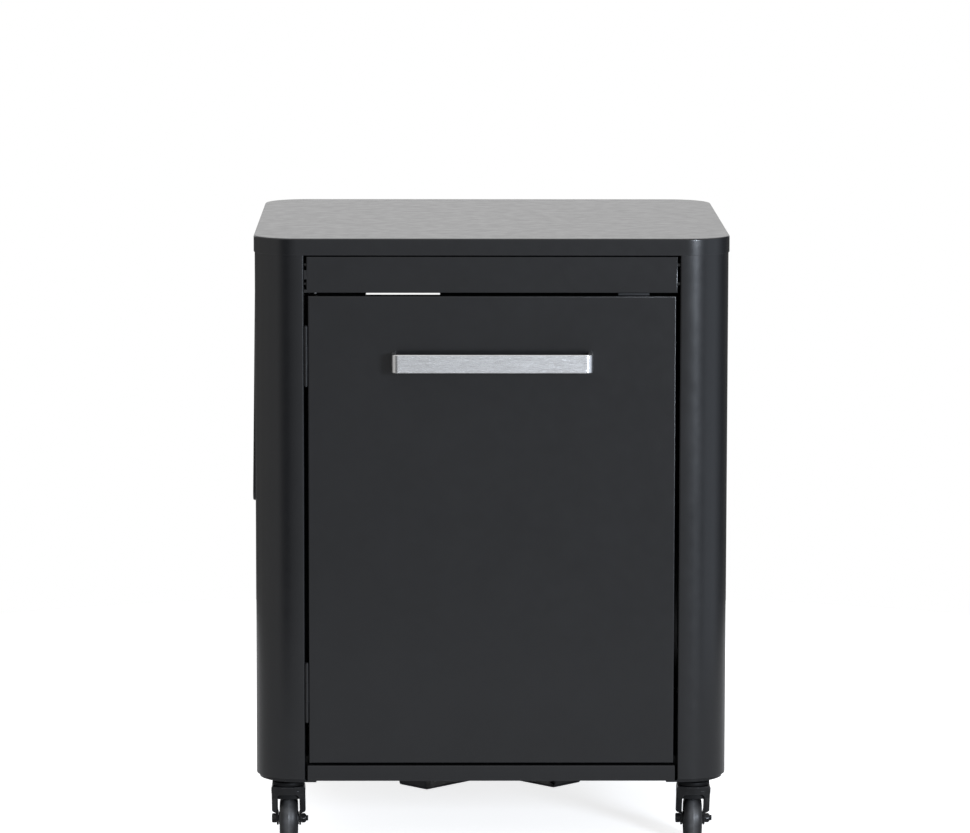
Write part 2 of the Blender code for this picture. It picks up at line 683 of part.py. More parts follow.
def door_handle():
    """A flat bar bent back to the door at both ends, tapped for a screw in each end."""
    half = HANDLE_LENGTH / 2
    seat = -FACE_Y - SEAT_GAP
    corners = [(-half, seat), (-half, HANDLE_FRONT_Y), (half, HANDLE_FRONT_Y), (half, seat)]
    path = filleted(corners, (HANDLE_BEND, HANDLE_BEND), steps=SMALL_CORNER_STEPS)
    middle = TOP_Z - HANDLE_DROP
    outline = strip_outline(path, HANDLE_THICKNESS)
    edge_rings = [(0.0, HANDLE_EDGE), (HANDLE_EDGE, 0.0)]
    rings = []
    for side in (-1, 1):
        for inset, depth in edge_rings if side > 0 else edge_rings[::-1]:
            z = middle + side * (HANDLE_HEIGHT / 2 - depth)
            rings.append([(point.x, point.y, z) for point in offset_outline(outline, inset)])
    mesh = ring_mesh(rings, smooth_angle=32)
    moved(mesh, Matrix.Translation((-HINGE_AXIS_X, -HINGE_AXIS_Y, 0.0)))
    return combined([mesh], handle_screw_holes(), smooth_angle=32)


def handle_screw(side):
    """A pan-head screw through the door's face from behind, into the handle's end."""
    under_head = -PANEL_SHEET - SEAT_GAP
    tip = SCREW_GRIP - SEAT_GAP * 2
    profile = [
        (0.0, tip),
        (SCREW_RADIUS, tip),
        (SCREW_RADIUS, under_head),
        (SCREW_HEAD_RADIUS, under_head),
        (SCREW_HEAD_RADIUS, under_head - SCREW_HEAD_HEIGHT / 2),
        (SCREW_HEAD_RADIUS * SCREW_HEAD_FLAT, under_head - SCREW_HEAD_HEIGHT),
        (0.0, under_head - SCREW_HEAD_HEIGHT),
    ]
    mesh = moved(turned(profile, SMALL_STEPS), Matrix.Rotation(math.pi / 2, 4, "X"))
    return moved(mesh, Matrix.Translation(handle_screw_place(side)))


def knuckle_spans():
    """The three knuckles of a hinge, as low and high ends from its middle."""
    ends = [HINGE_HEIGHT * (share / 3 - 1 / 2) for share in range(4)]
    trim = HINGE_KNUCKLE_GAP / 2
    return [(low + trim, high - trim) for low, high in zip(ends, ends[1:])]


def hinge_leaf(side, spans):
    """A leaf on one side of the hinge axis (-1 column, 1 door) and the knuckles that it carries."""
    wall = DOOR_SIDE_GAP / 2 - SEAT_GAP
    near = wall - HINGE_LEAF_SHEET
    edges = sorted((side * wall, side * near))
    clear = HINGE_KNUCKLE_RADIUS + SEAT_GAP
    half = (HINGE_HEIGHT - HINGE_KNUCKLE_GAP) / 2
    pieces = [box(*edges, clear, HINGE_LEAF_DEPTH, -half, half)]
    for low, high in spans:
        pieces.append(box(*edges, 0.0, clear + HINGE_LEAF_SHEET, low, high))
        pieces.append(cylinder((0.0, 0.0), HINGE_KNUCKLE_RADIUS, low, high, SMALL_STEPS))
    bore_radius = HINGE_PIN_RADIUS + PIN_CLEARANCE
    bore = cylinder((0.0, 0.0), bore_radius, -HINGE_HEIGHT, HINGE_HEIGHT, SMALL_STEPS)
    return combined(pieces, [bore], smooth_angle=32)


def hinge_pin():
    half = HINGE_HEIGHT / 2 + SEAT_GAP
    profile = [(0.0, half + HINGE_PIN_HEAD_HEIGHT), (HINGE_PIN_HEAD, half + HINGE_PIN_HEAD_HEIGHT)]
    profile += [(HINGE_PIN_HEAD, half), (HINGE_PIN_RADIUS, half)]
    profile += [(radius, -z) for radius, z in reversed(profile)]
    return turned(profile, SMALL_STEPS)


def door_catch():
    """The magnet's housing, screwed up under the front rail, behind the door's edge."""
    front = -FACE_Y + DOOR_THICKNESS + SEAT_GAP
    top = RAIL_BOTTOM - SEAT_GAP
    outline = rectangle(
        CATCH_X - CATCH_LENGTH / 2,
        CATCH_X + CATCH_LENGTH / 2,
        front,
        front + CATCH_DEPTH,
        (0.0, 0.0, CATCH_CORNER, CATCH_CORNER),
        steps=BEND_STEPS,
    )
    rings = []
    for inset, z in ((CATCH_EDGE, top - CATCH_HEIGHT), (0.0, top - CATCH_HEIGHT + CATCH_EDGE), (0.0, top)):
        rings.append([(point.x, point.y, z) for point in offset_outline(outline, inset)])
    return ring_mesh(rings)


def catch_strike():
    """An angle under the door's upper lip, whose back meets the magnet."""
    under_lip = DOOR_TOP - PANEL_SHEET - SEAT_GAP
    back = DOOR_THICKNESS - FACE_Y - HINGE_AXIS_Y
    corners = [(back - STRIKE_DEPTH, under_lip), (back, under_lip), (back, under_lip - STRIKE_HEIGHT)]
    path = filleted(corners, (STRIKE_BEND,))
    mesh = prism(strip_outline(path, -STRIKE_SHEET), -STRIKE_LENGTH / 2, STRIKE_LENGTH / 2)
    upright = Matrix(((0, 0, 1, 0), (1, 0, 0, 0), (0, 1, 0, 0), (0, 0, 0, 1)))
    return moved(mesh, Matrix.Translation((CATCH_X - HINGE_AXIS_X, 0.0, 0.0)) @ upright)


# Side shelf, with its origin on its hinge axis

def side_shelf():
    """A tray that hangs with its flat face outwards, and its pivot holes in its two end lips."""
    radii = (SHELF_CORNER_RADIUS, SHELF_CORNER_RADIUS, 0.0, 0.0)
    outline = rectangle(
        -SHELF_HALF_LENGTH, SHELF_HALF_LENGTH, -SHELF_DROP, SHELF_OVER, radii, steps=SMALL_CORNER_STEPS
    )
    mesh = tray(outline, SHELF_THICKNESS, SHELF_SHEET, SHELF_BEND)
    moved(mesh, Matrix.Translation((-SHELF_AXIS_DEPTH, 0.0, 0.0)) @ FACING_LEFT)
    inner_end = SHELF_HALF_LENGTH - SHELF_SHEET
    reach = SHELF_HALF_LENGTH + SHELF_OVER
    pin_hole = cylinder((0.0, 0.0), SHELF_PIN_RADIUS + PIN_CLEARANCE, -reach, reach, ROUND_STEPS)
    cutters = [moved(pin_hole, ALONG_Y)]
    behind_face = -SHELF_AXIS_DEPTH + SHELF_BEND + SHELF_SHEET
    for side in (-1, 1):
        ends = sorted((side * (inner_end - SHELF_NOTCH), side * reach))
        cutters.append(box(behind_face, SHELF_THICKNESS, *ends, SHELF_OVER - SHELF_BEND, SHELF_OVER * 2))
    return combined([mesh], cutters, smooth_angle=40)


def eye_bracket(eye_radius, hole_radius, wall, rise, height, side):
    """An upright ear with an eye on the axis, and a flange against the wall behind it."""
    eye = arc_points((0.0, 0.0), eye_radius, 90, 270, SMALL_STEPS)
    foot_corners = [(wall - BRACKET_SHEET, rise - height), (wall, rise - height), (wall, rise)]
    outline = eye + [Vector(corner) for corner in foot_corners]
    ear = moved(prism(outline[::-1], -BRACKET_SHEET / 2, BRACKET_SHEET / 2), FACING_FRONT)
    inner = sorted((side * BRACKET_SHEET / 2, -side * BRACKET_FLANGE))
    flange = box(wall - BRACKET_SHEET, wall, *inner, rise - height, rise)
    hole = moved(cylinder((0.0, 0.0), hole_radius, -BRACKET_FLANGE, BRACKET_FLANGE, ROUND_STEPS), ALONG_Y)
    return combined([ear, flange], [hole], smooth_angle=32)


def shelf_bracket(side):
    wall = -SIDE_PANEL_X - SHELF_AXIS_X - SEAT_GAP
    return eye_bracket(
        BRACKET_EYE_RADIUS, SHELF_PIN_RADIUS + PIN_CLEARANCE, wall, BRACKET_EYE_RADIUS, BRACKET_HEIGHT, side
    )


def shelf_bracket_place(side):
    middle = SHELF_HALF_LENGTH - SHELF_SHEET - SEAT_GAP - BRACKET_SHEET / 2
    return (SHELF_AXIS_X, side * middle, SHELF_AXIS_Z)


def shelf_pin(side):
    """A shouldered pin through the shelf's end lip and the bracket's eye."""
    head = SHELF_HALF_LENGTH + SEAT_GAP
    nut = SHELF_HALF_LENGTH - SHELF_SHEET - SEAT_GAP * 2 - BRACKET_SHEET
    profile = [
        (0.0, head + SHELF_PIN_HEAD_HEIGHT),
        (SHELF_PIN_HEAD_RADIUS, head + SHELF_PIN_HEAD_HEIGHT),
        (SHELF_PIN_HEAD_RADIUS, head),
        (SHELF_PIN_RADIUS, head),
        (SHELF_PIN_RADIUS, nut),
        (SHELF_PIN_NUT_RADIUS, nut),
        (SHELF_PIN_NUT_RADIUS, nut - SHELF_PIN_NUT_HEIGHT),
        (0.0, nut - SHELF_PIN_NUT_HEIGHT),
    ]
    mesh = moved(turned(profile, ROUND_STEPS), ALONG_Y)
    return moved(mesh, Matrix.Diagonal((1, side, 1, 1)))


def shelf_stay(name, parent, place):
    """A wire bent to a bail, with its two ends turned out to pivot in the stay brackets."""
    stub = STAY_HALF_WIDTH + STAY_STUB
    corners = [
        (0.0, -stub, 0.0),
        (0.0, -STAY_HALF_WIDTH, 0.0),
        (0.0, -STAY_HALF_WIDTH, -STAY_REACH),
        (0.0, STAY_HALF_WIDTH, -STAY_REACH),
        (0.0, STAY_HALF_WIDTH, 0.0),
        (0.0, stub, 0.0),
    ]
    path = filleted(corners, (STAY_BEND,) * 4, steps=SMALL_CORNER_STEPS)
    curve = bpy.data.curves.new(name, "CURVE")
    curve.dimensions = "3D"
    curve.bevel_depth = STAY_WIRE_RADIUS
    curve.bevel_resolution = 2
    curve.use_fill_caps = True
    spline = curve.splines.new("POLY")
    spline.points.add(len(path) - 1)
    for point, place_on_path in zip(spline.points, path):
        point.co = (*place_on_path, 1.0)
    curve.materials.append(zinc(name))
    wire = bpy.data.objects.new(name, curve)
    bpy.context.scene.collection.objects.link(wire)
    wire.parent = parent
    wire.location = place
    return wire


def stay_bracket(side):
    wall = STAY_AXIS_INSET - SEAT_GAP
    return eye_bracket(
        STAY_EYE_RADIUS, STAY_WIRE_RADIUS + PIN_CLEARANCE, wall, STAY_EYE_RADIUS, STAY_BRACKET_HEIGHT, -side
    )


def stay_bracket_place(side):
    middle = STAY_HALF_WIDTH + STAY_BRACKET_OFFSET + BRACKET_SHEET / 2
    return (STAY_AXIS_X, side * middle, STAY_AXIS_Z)


# Castor, with its origin on the ground under the swivel axis

def castor_stem():
    """Threaded stem with its nut, collar and race cup, and the kingpin that carries the fork."""
    crown_under = CROWN_TOP - FORK_SHEET - SEAT_GAP
    nut_bottom = BOSS_TOP + SEAT_GAP
    nut_top = nut_bottom + STEM_NUT_HEIGHT
    tip = nut_top + STEM_TAIL
    profile = [
        (0.0, tip),
        (STEM_RADIUS, tip),
        (STEM_RADIUS, nut_top),
        (STEM_NUT_RADIUS, nut_top),
        (STEM_NUT_RADIUS, nut_bottom),
        (STEM_RADIUS, nut_bottom),
        (STEM_RADIUS, COLLAR_TOP),
        (COLLAR_RADIUS, COLLAR_TOP),
        (COLLAR_RADIUS, CUP_TOP),
        (CUP_RADIUS - CUP_SHOULDER, CUP_TOP),
        (CUP_RADIUS, CUP_TOP - CUP_SHOULDER),
        (CUP_RADIUS, CUP_BOTTOM),
        (STEM_RADIUS, CUP_BOTTOM),
        (STEM_RADIUS, crown_under),
        (KINGPIN_HEAD_RADIUS, crown_under),
        (KINGPIN_HEAD_RADIUS, crown_under - KINGPIN_HEAD_HEIGHT),
        (0.0, crown_under - KINGPIN_HEAD_HEIGHT),
    ]
    return turned(profile, ROUND_STEPS)


def crown_half_depth(x):
    """Half the crown's depth, which bulges between the two legs."""
    share = min(abs(x) / FORK_CROWN_HALF_WIDTH, 1.0)
    return FORK_ROOT_HALF_DEPTH + FORK_CROWN_BULGE * math.sqrt(1 - share * share)


def fork_edges(x, z):
    """The front and back edges of the fork's sheet at a point of its bent section."""
    leg_root = CROWN_TOP - FORK_SHOULDER
    if z >= leg_root:
        half = crown_half_depth(x)
        return -half, half
    straight = AXLE_Z + FORK_STRAIGHT_RISE
    if z >= straight:
        share = (leg_root - z) / (leg_root - straight)
        front = -FORK_ROOT_HALF_DEPTH * (1 - share) + (CASTOR_TRAIL - FORK_LEG_END_RADIUS) * share
        back = FORK_ROOT_HALF_DEPTH * (1 - share) + (CASTOR_TRAIL + FORK_LEG_END_RADIUS) * share
        return front, back
    below = max(AXLE_Z - z, 0.0)
    half = FORK_LEG_END_RADIUS * math.sqrt(max(1 - (below / FORK_LEG_END_RADIUS) ** 2, FORK_END_TIP ** 2))
    return CASTOR_TRAIL - half, CASTOR_TRAIL + half


def edge_fold(x, z):
    """How far a leg's front and rear edges are folded in from its middle, at a point of its outer line."""
    lip_end = CROWN_TOP - FORK_LIP_HEIGHT
    rise = (z - AXLE_Z - FORK_STRAIGHT_RISE) / (FORK_FLARE_RISE - FORK_STRAIGHT_RISE)
    edge = FORK_LEG_HALF_WIDTH + FORK_EDGE_STEP * min(max(rise, 0.0), 1.0)
    share = min(max((lip_end - z) / FORK_EDGE_RUN, 0.0), 1.0)
    return max(abs(x) - edge, 0.0) * share


def leg_line():
    """The left leg's outer line from its lower end to the shoulder, bowed above the axle's seat."""
    half_leg = FORK_LEG_HALF_WIDTH
    spread = FORK_CROWN_HALF_WIDTH - half_leg
    straight = AXLE_Z + FORK_STRAIGHT_RISE
    flare = AXLE_Z + FORK_FLARE_RISE
    lip_end = CROWN_TOP - FORK_LIP_HEIGHT
    line = [Vector((-half_leg, AXLE_Z - FORK_LEG_END_RADIUS * share)) for share in FORK_END_SHARES]
    for step in range(BOW_STEPS + 1):
        share = step / BOW_STEPS
        bow = spread * math.sin(math.pi / 2 * share)
        line.append(Vector((-half_leg - bow, straight + (flare - straight) * share)))
    return line + [Vector((-FORK_CROWN_HALF_WIDTH, z)) for z in (lip_end - FORK_EDGE_RUN, lip_end)]


def castor_fork():
    """A pressed fork: two channel-shaped legs swept back from a round crown with a lip along its front."""
    half_crown = FORK_CROWN_HALF_WIDTH
    shoulder = CROWN_TOP - FORK_SHOULDER
    lip_end = CROWN_TOP - FORK_LIP_HEIGHT
    left = leg_line()
    bend = arc_points((-half_crown + FORK_SHOULDER, shoulder), FORK_SHOULDER, 180, 90, BEND_STEPS)
    crown = [Vector((half_crown * step / 3, CROWN_TOP)) for step in (-1, 0, 1)]
    right = [Vector((-point.x, point.y)) for point in reversed(left + bend)]
    outer = left + bend + crown + right
    count = len(outer)
    section = strip_outline(outer, -FORK_SHEET)
    inner = section[count:][::-1]
    rings = []
    for out, into in zip(outer, inner):
        front, back = fork_edges(out.x, out.y)
        side = math.copysign(1.0, out.x)
        fold = side * edge_fold(*out)
        edge = (back - front) * FORK_EDGE_SHARE
        inner_edge = Vector((out.x - side * FORK_SHEET, out.y)) if out.y <= lip_end else into
        rings.append([
            (out.x - fold, front, out.y),
            (out.x, front + edge, out.y),
            (out.x, back - edge, out.y),
            (out.x - fold, back, out.y),
            (inner_edge.x - fold, back, inner_edge.y),
            (into.x, back - edge, into.y),
            (into.x, front + edge, into.y),
            (inner_edge.x - fold, front, inner_edge.y),
        ])
    skin = ring_mesh(rings)
    lip_half = half_crown - FORK_SHEET / 2
    stations = [lip_half * (step / SMALL_CORNER_STEPS - 1) for step in range(2 * SMALL_CORNER_STEPS + 1)]
    path = [Vector((x, -crown_half_depth(x))) for x in stations]
    lip = prism(strip_outline(path, FORK_SHEET), lip_end, CROWN_TOP - FORK_SHEET / 2)
    pin_hole = cylinder((0.0, 0.0), STEM_RADIUS + PIN_CLEARANCE, shoulder, CUP_TOP, ROUND_STEPS)
    axle_hole = cylinder((0.0, 0.0), AXLE_RADIUS + PIN_CLEARANCE, -half_crown, half_crown, ROUND_STEPS)
    moved(axle_hole, Matrix.Translation((0.0, CASTOR_TRAIL, AXLE_Z)) @ ALONG_X)
    return combined([skin, lip], [pin_hole, axle_hole], smooth_angle=32)


def castor_axle():
    """Axle bolt along X, with its head on the left and its nut and thread end on the right."""
    face = FORK_LEG_HALF_WIDTH + SEAT_GAP
    head = prism(circle_outline((0.0, 0.0), AXLE_HEAD_RADIUS, 6), -face - AXLE_HEAD_HEIGHT, -face)
    nut = prism(circle_outline((0.0, 0.0), AXLE_HEAD_RADIUS, 6), face, face + AXLE_NUT_HEIGHT)
    tip = face + AXLE_NUT_HEIGHT + AXLE_TAIL
    shank = cylinder((0.0, 0.0), AXLE_RADIUS, -face - AXLE_HEAD_HEIGHT / 2, tip, ROUND_STEPS)
    mesh = moved(combined([shank, head, nut], smooth_angle=32), ALONG_X)
    return moved(mesh, Matrix.Translation((0.0, CASTOR_TRAIL, AXLE_Z)))


def wheel_core():
    """Hub, web and rim, turned round the axle, with the wheel's middle at its origin."""
    bore = AXLE_RADIUS + PIN_CLEARANCE
    rim_outer = TYRE_BORE_RADIUS - SEAT_GAP
    half_profile = [
        (bore, HUB_HALF_WIDTH),
        (HUB_RADIUS, HUB_HALF_WIDTH),
        (HUB_RADIUS, WEB_HALF_WIDTH),
        (RIM_RADIUS, WEB_HALF_WIDTH),
        (RIM_RADIUS, RIM_HALF_WIDTH),
        (rim_outer, RIM_HALF_WIDTH),
    ]
    profile = half_profile + [(radius, -z) for radius, z in reversed(half_profile)]
    return moved(lathe(profile, HUB_STEPS), ALONG_X)


def wheel_tyre():
    """The tread ring, with rounded shoulders."""
    centre = (WHEEL_RADIUS - TYRE_SHOULDER, TYRE_HALF_WIDTH - TYRE_SHOULDER)
    shoulder = arc_points(centre, TYRE_SHOULDER, 0, 90, SHOULDER_STEPS)
    upper = [(point.x, point.y) for point in shoulder] + [(TYRE_BORE_RADIUS, TYRE_HALF_WIDTH)]
    profile = [(radius, -z) for radius, z in reversed(upper)] + upper
    return moved(lathe(profile, TYRE_STEPS), ALONG_X)


# Assembly

def add_cabinet(root):
    add_piece("worktop", worktop(), anthracite, root)
    for corner, (side_x, side_y) in CORNERS.items():
        add_piece(f"column_{corner}", column(side_x, side_y), anthracite, root)
        add_piece(f"foot_{corner}", foot(side_x, side_y), black_steel, root)
    add_piece("front_rail", front_rail(), anthracite, root)
    add_piece("rear_panel", rear_panel(), anthracite, root)
    add_piece("side_panel_left", side_panel(-1), anthracite, root)
    add_piece("side_panel_right", side_panel(1), anthracite, root)
    add_piece("floor_panel", floor_panel(), anthracite, root)
    add_piece("cradle_strap_lower", cradle_strap(0.0, math.radians(45)), black_steel, root)
    lift = STRAP_THICKNESS + SEAT_GAP
    add_piece("cradle_strap_upper", cradle_strap(lift, math.radians(-45)), black_steel, root)


def add_door(root):
    pivot = add_pivot("door_pivot", root, (HINGE_AXIS_X, HINGE_AXIS_Y, 0.0))
    add_piece("door_panel", door_panel(), anthracite, pivot)
    add_piece("door_handle", door_handle(), brushed_steel, pivot)
    for name, side in (("left", -1), ("right", 1)):
        add_piece(f"handle_screw_{name}", handle_screw(side), zinc, pivot)
    add_piece("catch_strike", catch_strike(), zinc, pivot)
    add_piece("door_catch", door_catch(), black_plastic, root)
    low, middle, high = knuckle_spans()
    for name, level in (("upper", UPPER_HINGE_Z), ("lower", LOWER_HINGE_Z)):
        place = (0.0, 0.0, level)
        axis = (HINGE_AXIS_X, HINGE_AXIS_Y, level)
        add_piece(f"hinge_{name}_door_leaf", hinge_leaf(1, [middle]), anthracite, pivot, place)
        add_piece(f"hinge_{name}_column_leaf", hinge_leaf(-1, [low, high]), anthracite, root, axis)
        add_piece(f"hinge_{name}_pin", hinge_pin(), anthracite, root, axis)


def add_shelf(root):
    pivot = add_pivot("shelf_pivot", root, (SHELF_AXIS_X, 0.0, SHELF_AXIS_Z))
    pivot.rotation_euler = (0.0, SHELF_LEAN, 0.0)
    add_piece("side_shelf", side_shelf(), anthracite, pivot)
    shelf_stay("shelf_stay", root, (STAY_AXIS_X, 0.0, STAY_AXIS_Z))
    for name, side in (("front", -1), ("rear", 1)):
        place = shelf_bracket_place(side)
        add_piece(f"shelf_bracket_{name}", shelf_bracket(side), black_steel, root, place)
        axis = (SHELF_AXIS_X, 0.0, SHELF_AXIS_Z)
        add_piece(f"shelf_pin_{name}", shelf_pin(side), zinc, root, axis)
        place = stay_bracket_place(side)
        add_piece(f"stay_bracket_{name}", stay_bracket(side), black_steel, root, place)


def add_castors(root):
    """Four castors, whose wheels stand turned in under the cart."""
    fork = castor_fork()
    axle = castor_axle()
    for corner, (side_x, side_y) in CORNERS.items():
        place = (side_x * CASTOR_X, side_y * CASTOR_Y, 0.0)
        add_piece(f"castor_stem_{corner}", castor_stem(), black_steel, root, place)
        swivel = add_pivot(f"swivel_{corner}", root, place)
        if side_y > 0:
            swivel.rotation_euler = (0.0, 0.0, math.pi)
        add_piece(f"castor_fork_{corner}", fork.copy(), black_steel, swivel)
        add_piece(f"castor_axle_{corner}", axle.copy(), black_steel, swivel)
        spin = add_pivot(f"spin_{corner}", swivel, (0.0, CASTOR_TRAIL, AXLE_Z))
        add_piece(f"wheel_core_{corner}", wheel_core(), black_plastic, spin)
        add_piece(f"wheel_tyre_{corner}", wheel_tyre(), grey_rubber, spin)


clear_scene()
cart = add_pivot("cart", None, ORIGIN_SHIFT)
add_cabinet(cart)
add_door(cart)
add_shelf(cart)
add_castors(cart)
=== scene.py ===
import json
import math

import bmesh
import bpy
from mathutils import Matrix, Vector


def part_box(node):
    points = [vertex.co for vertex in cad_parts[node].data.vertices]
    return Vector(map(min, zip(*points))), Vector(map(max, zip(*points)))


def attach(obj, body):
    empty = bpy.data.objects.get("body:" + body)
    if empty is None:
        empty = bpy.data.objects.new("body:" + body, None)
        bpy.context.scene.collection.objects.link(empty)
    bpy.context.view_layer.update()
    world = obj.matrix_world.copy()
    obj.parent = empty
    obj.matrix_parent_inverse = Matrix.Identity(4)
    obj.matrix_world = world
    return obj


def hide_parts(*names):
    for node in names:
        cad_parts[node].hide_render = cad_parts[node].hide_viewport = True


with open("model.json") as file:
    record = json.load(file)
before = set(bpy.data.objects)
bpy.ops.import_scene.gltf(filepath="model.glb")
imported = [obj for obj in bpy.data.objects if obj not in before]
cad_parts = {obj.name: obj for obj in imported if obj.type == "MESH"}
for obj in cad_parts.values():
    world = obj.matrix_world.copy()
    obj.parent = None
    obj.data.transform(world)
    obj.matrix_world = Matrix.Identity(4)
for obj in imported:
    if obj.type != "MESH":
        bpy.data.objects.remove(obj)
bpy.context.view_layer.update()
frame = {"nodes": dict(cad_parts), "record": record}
NODES = frame["nodes"]
SLOTS = {row["node"]: row["material_slot"] for row in frame["record"]["subparts"]}
BODIES = frame["record"]["behaviour"]["bodies"]
BODY_OF = {node: body for body, members in BODIES.items() for node in members}
CORNERS = ("front_left", "front_right", "rear_left", "rear_right")

# How far the sharp edges of the solids are rounded off
SHEET_ROUND = 0.00025
STEEL_ROUND = 0.0005
MOULDED_ROUND = 0.0006
SHARP_ANGLE = math.radians(38)


# Materials

def add_node(tree, kind, settings=None, **inputs):
    """A shader node with its settings and inputs, named or numbered as in i0.

    An input is a value or another node's socket.
    """
    node = tree.nodes.new(kind)
    for name, value in (settings or {}).items():
        setattr(node, name, value)
    for name, value in inputs.items():
        numbered = name.startswith("i")
        socket = node.inputs[int(name[1:]) if numbered else name.replace("_", " ")]
        if isinstance(value, bpy.types.NodeSocket):
            tree.links.new(value, socket)
        else:
            socket.default_value = value
    return node


def new_material(name):
    """A material with its tree, its main shader and the coordinates of the object."""
    material = bpy.data.materials.new(name)
    material.use_nodes = True
    tree = material.node_tree
    shader = tree.nodes["Principled BSDF"]
    place = add_node(tree, "ShaderNodeTexCoord").outputs["Object"]
    return material, tree, shader, place


def grey(level, blue=0.0):
    """A grey, with a little more blue where that isn't 0."""
    return (level, level, level + blue, 1.0)


def noise(tree, place, size, detail=3.0, rough=0.55):
    """Noise whose features are about that size in metres."""
    inputs = {"Vector": place, "Scale": 1.0 / size, "Detail": detail, "Roughness": rough}
    return add_node(tree, "ShaderNodeTexNoise", **inputs).outputs["Fac"]


def stretched(tree, place, scale):
    return add_node(tree, "ShaderNodeMapping", Vector=place, Scale=scale).outputs["Vector"]


def remap(tree, value, low, high, from_low=0.3, from_high=0.7):
    node = tree.nodes.new("ShaderNodeMapRange")
    node.clamp = True
    tree.links.new(value, node.inputs[0])
    for index, number in enumerate((from_low, from_high, low, high), start=1):
        node.inputs[index].default_value = number
    return node.outputs[0]


def calc(tree, operation, *values):
    """A sum of one kind over values or other nodes' sockets."""
    node = tree.nodes.new("ShaderNodeMath")
    node.operation = operation
    for socket, value in zip(node.inputs, values):
        if isinstance(value, bpy.types.NodeSocket):
            tree.links.new(value, socket)
        else:
            socket.default_value = value
    return node.outputs[0]


def mixed(tree, share, first, second):
    """A colour between two, by a share from 0 to 1."""
    node = tree.nodes.new("ShaderNodeMix")
    node.data_type = "RGBA"
    tree.links.new(share, node.inputs[0])
    for socket, value in ((node.inputs[6], first), (node.inputs[7], second)):
        if isinstance(value, bpy.types.NodeSocket):
            tree.links.new(value, socket)
        else:
            socket.default_value = value
    return node.outputs[2]


def bumped(tree, height, distance, normal=None):
    """The shading normal over a relief that is so many metres high."""
    node = add_node(tree, "ShaderNodeBump", Height=height, Distance=distance, Strength=1.0)
    if normal:
        tree.links.new(normal, node.inputs["Normal"])
    return node.outputs["Normal"]


def edge_wear_and_highlight(tree, radius, low=0.02, high=0.25):
    """From 0 on a flat face to 1 on a sharp edge, where a coat is thinner from wear and where a painted
    highlight lightens the bends.
    """
    soft = add_node(tree, "ShaderNodeBevel", {"samples": 4}, Radius=radius).outputs[0]
    plain = add_node(tree, "ShaderNodeNewGeometry").outputs["Normal"]
    node = add_node(tree, "ShaderNodeVectorMath", {"operation": "DOT_PRODUCT"}, i0=soft, i1=plain)
    away = calc(tree, "SUBTRACT", 1.0, node.outputs["Value"])
    return remap(tree, away, 0.0, 1.0, low, high)


def powder_coat(name, dark, light, rubbed_and_highlit, rough=(0.20, 0.24), specular=0.4):
    """Satin powder coat: a fine grain, a faint orange peel, slight cloudiness, and edges lighter from wear
    and from a painted highlight on the bends.
    """
    material, tree, shader, place = new_material(name)
    cloud = noise(tree, place, 0.060, detail=2.0)
    speck = noise(tree, place, 0.0012, detail=2.0)
    share = remap(tree, cloud, 0.25, 0.75)
    colour = mixed(tree, share, dark, light)
    bright = [part * 1.5 for part in light[:3]] + [1.0]
    speckled = mixed(tree, remap(tree, speck, 0.0, 0.35, 0.55, 0.75), colour, bright)
    # Lighter edges: partly wear of the coat, partly a painted highlight on the bends.
    worn_and_highlit = mixed(tree, edge_wear_and_highlight(tree, 0.0012), speckled, rubbed_and_highlit)
    tree.links.new(worn_and_highlit, shader.inputs["Base Color"])
    tree.links.new(remap(tree, noise(tree, place, 0.018), *rough), shader.inputs["Roughness"])
    peel = bumped(tree, noise(tree, place, 0.0022, detail=1.0), 0.00002)
    grain = bumped(tree, noise(tree, place, 0.0005, detail=1.0), 0.00001, normal=peel)
    tree.links.new(grain, shader.inputs["Normal"])
    shader.inputs["Specular IOR Level"].default_value = specular
    return material


def black_paint(name):
    """Thin black paint on pressed steel, a little glossier, with faint flow marks."""
    material, tree, shader, place = new_material(name)
    cloud = noise(tree, place, 0.015, detail=3.0)
    colour = mixed(tree, remap(tree, cloud, 0.0, 1.0), grey(0.0045, 0.0003), grey(0.0080, 0.0004))
    # Lighter edges: partly wear of the paint, partly a painted highlight on the bends.
    worn_and_highlit = mixed(tree, edge_wear_and_highlight(tree, 0.0010), colour, grey(0.030, 0.001))
    shader.inputs["Specular IOR Level"].default_value = 0.28
    tree.links.new(worn_and_highlit, shader.inputs["Base Color"])
    tree.links.new(remap(tree, noise(tree, place, 0.006), 0.18, 0.28), shader.inputs["Roughness"])
    normal = bumped(tree, noise(tree, place, 0.0030, detail=2.0), 0.00004)
    tree.links.new(normal, shader.inputs["Normal"])
    return material


def brushed_steel(name):
    """Stainless steel brushed along X, with fine lines and slight streaks."""
    material, tree, shader, place = new_material(name)
    across = stretched(tree, place, (1.0, 40.0, 40.0))
    lines = noise(tree, across, 0.010, detail=3.0)
    streaks = noise(tree, across, 0.060, detail=2.0)
    colour = mixed(tree, remap(tree, streaks, 0.0, 1.0), (0.63, 0.625, 0.62, 1.0), (0.72, 0.715, 0.71, 1.0))
    tree.links.new(colour, shader.inputs["Base Color"])
    shader.inputs["Metallic"].default_value = 1.0
    tree.links.new(remap(tree, lines, 0.20, 0.32), shader.inputs["Roughness"])
    tree.links.new(bumped(tree, lines, 0.00008), shader.inputs["Normal"])
    return material


def zinc_plate(name):
    """Bright zinc plating, cloudy and faintly blue."""
    material, tree, shader, place = new_material(name)
    cloud = noise(tree, place, 0.004, detail=3.0)
    colour = mixed(tree, remap(tree, cloud, 0.0, 1.0), (0.42, 0.43, 0.45, 1.0), (0.60, 0.60, 0.60, 1.0))
    tree.links.new(colour, shader.inputs["Base Color"])
    shader.inputs["Metallic"].default_value = 1.0
    tree.links.new(remap(tree, noise(tree, place, 0.0020), 0.26, 0.44), shader.inputs["Roughness"])
    tree.links.new(bumped(tree, noise(tree, place, 0.0012), 0.00003), shader.inputs["Normal"])
    return material


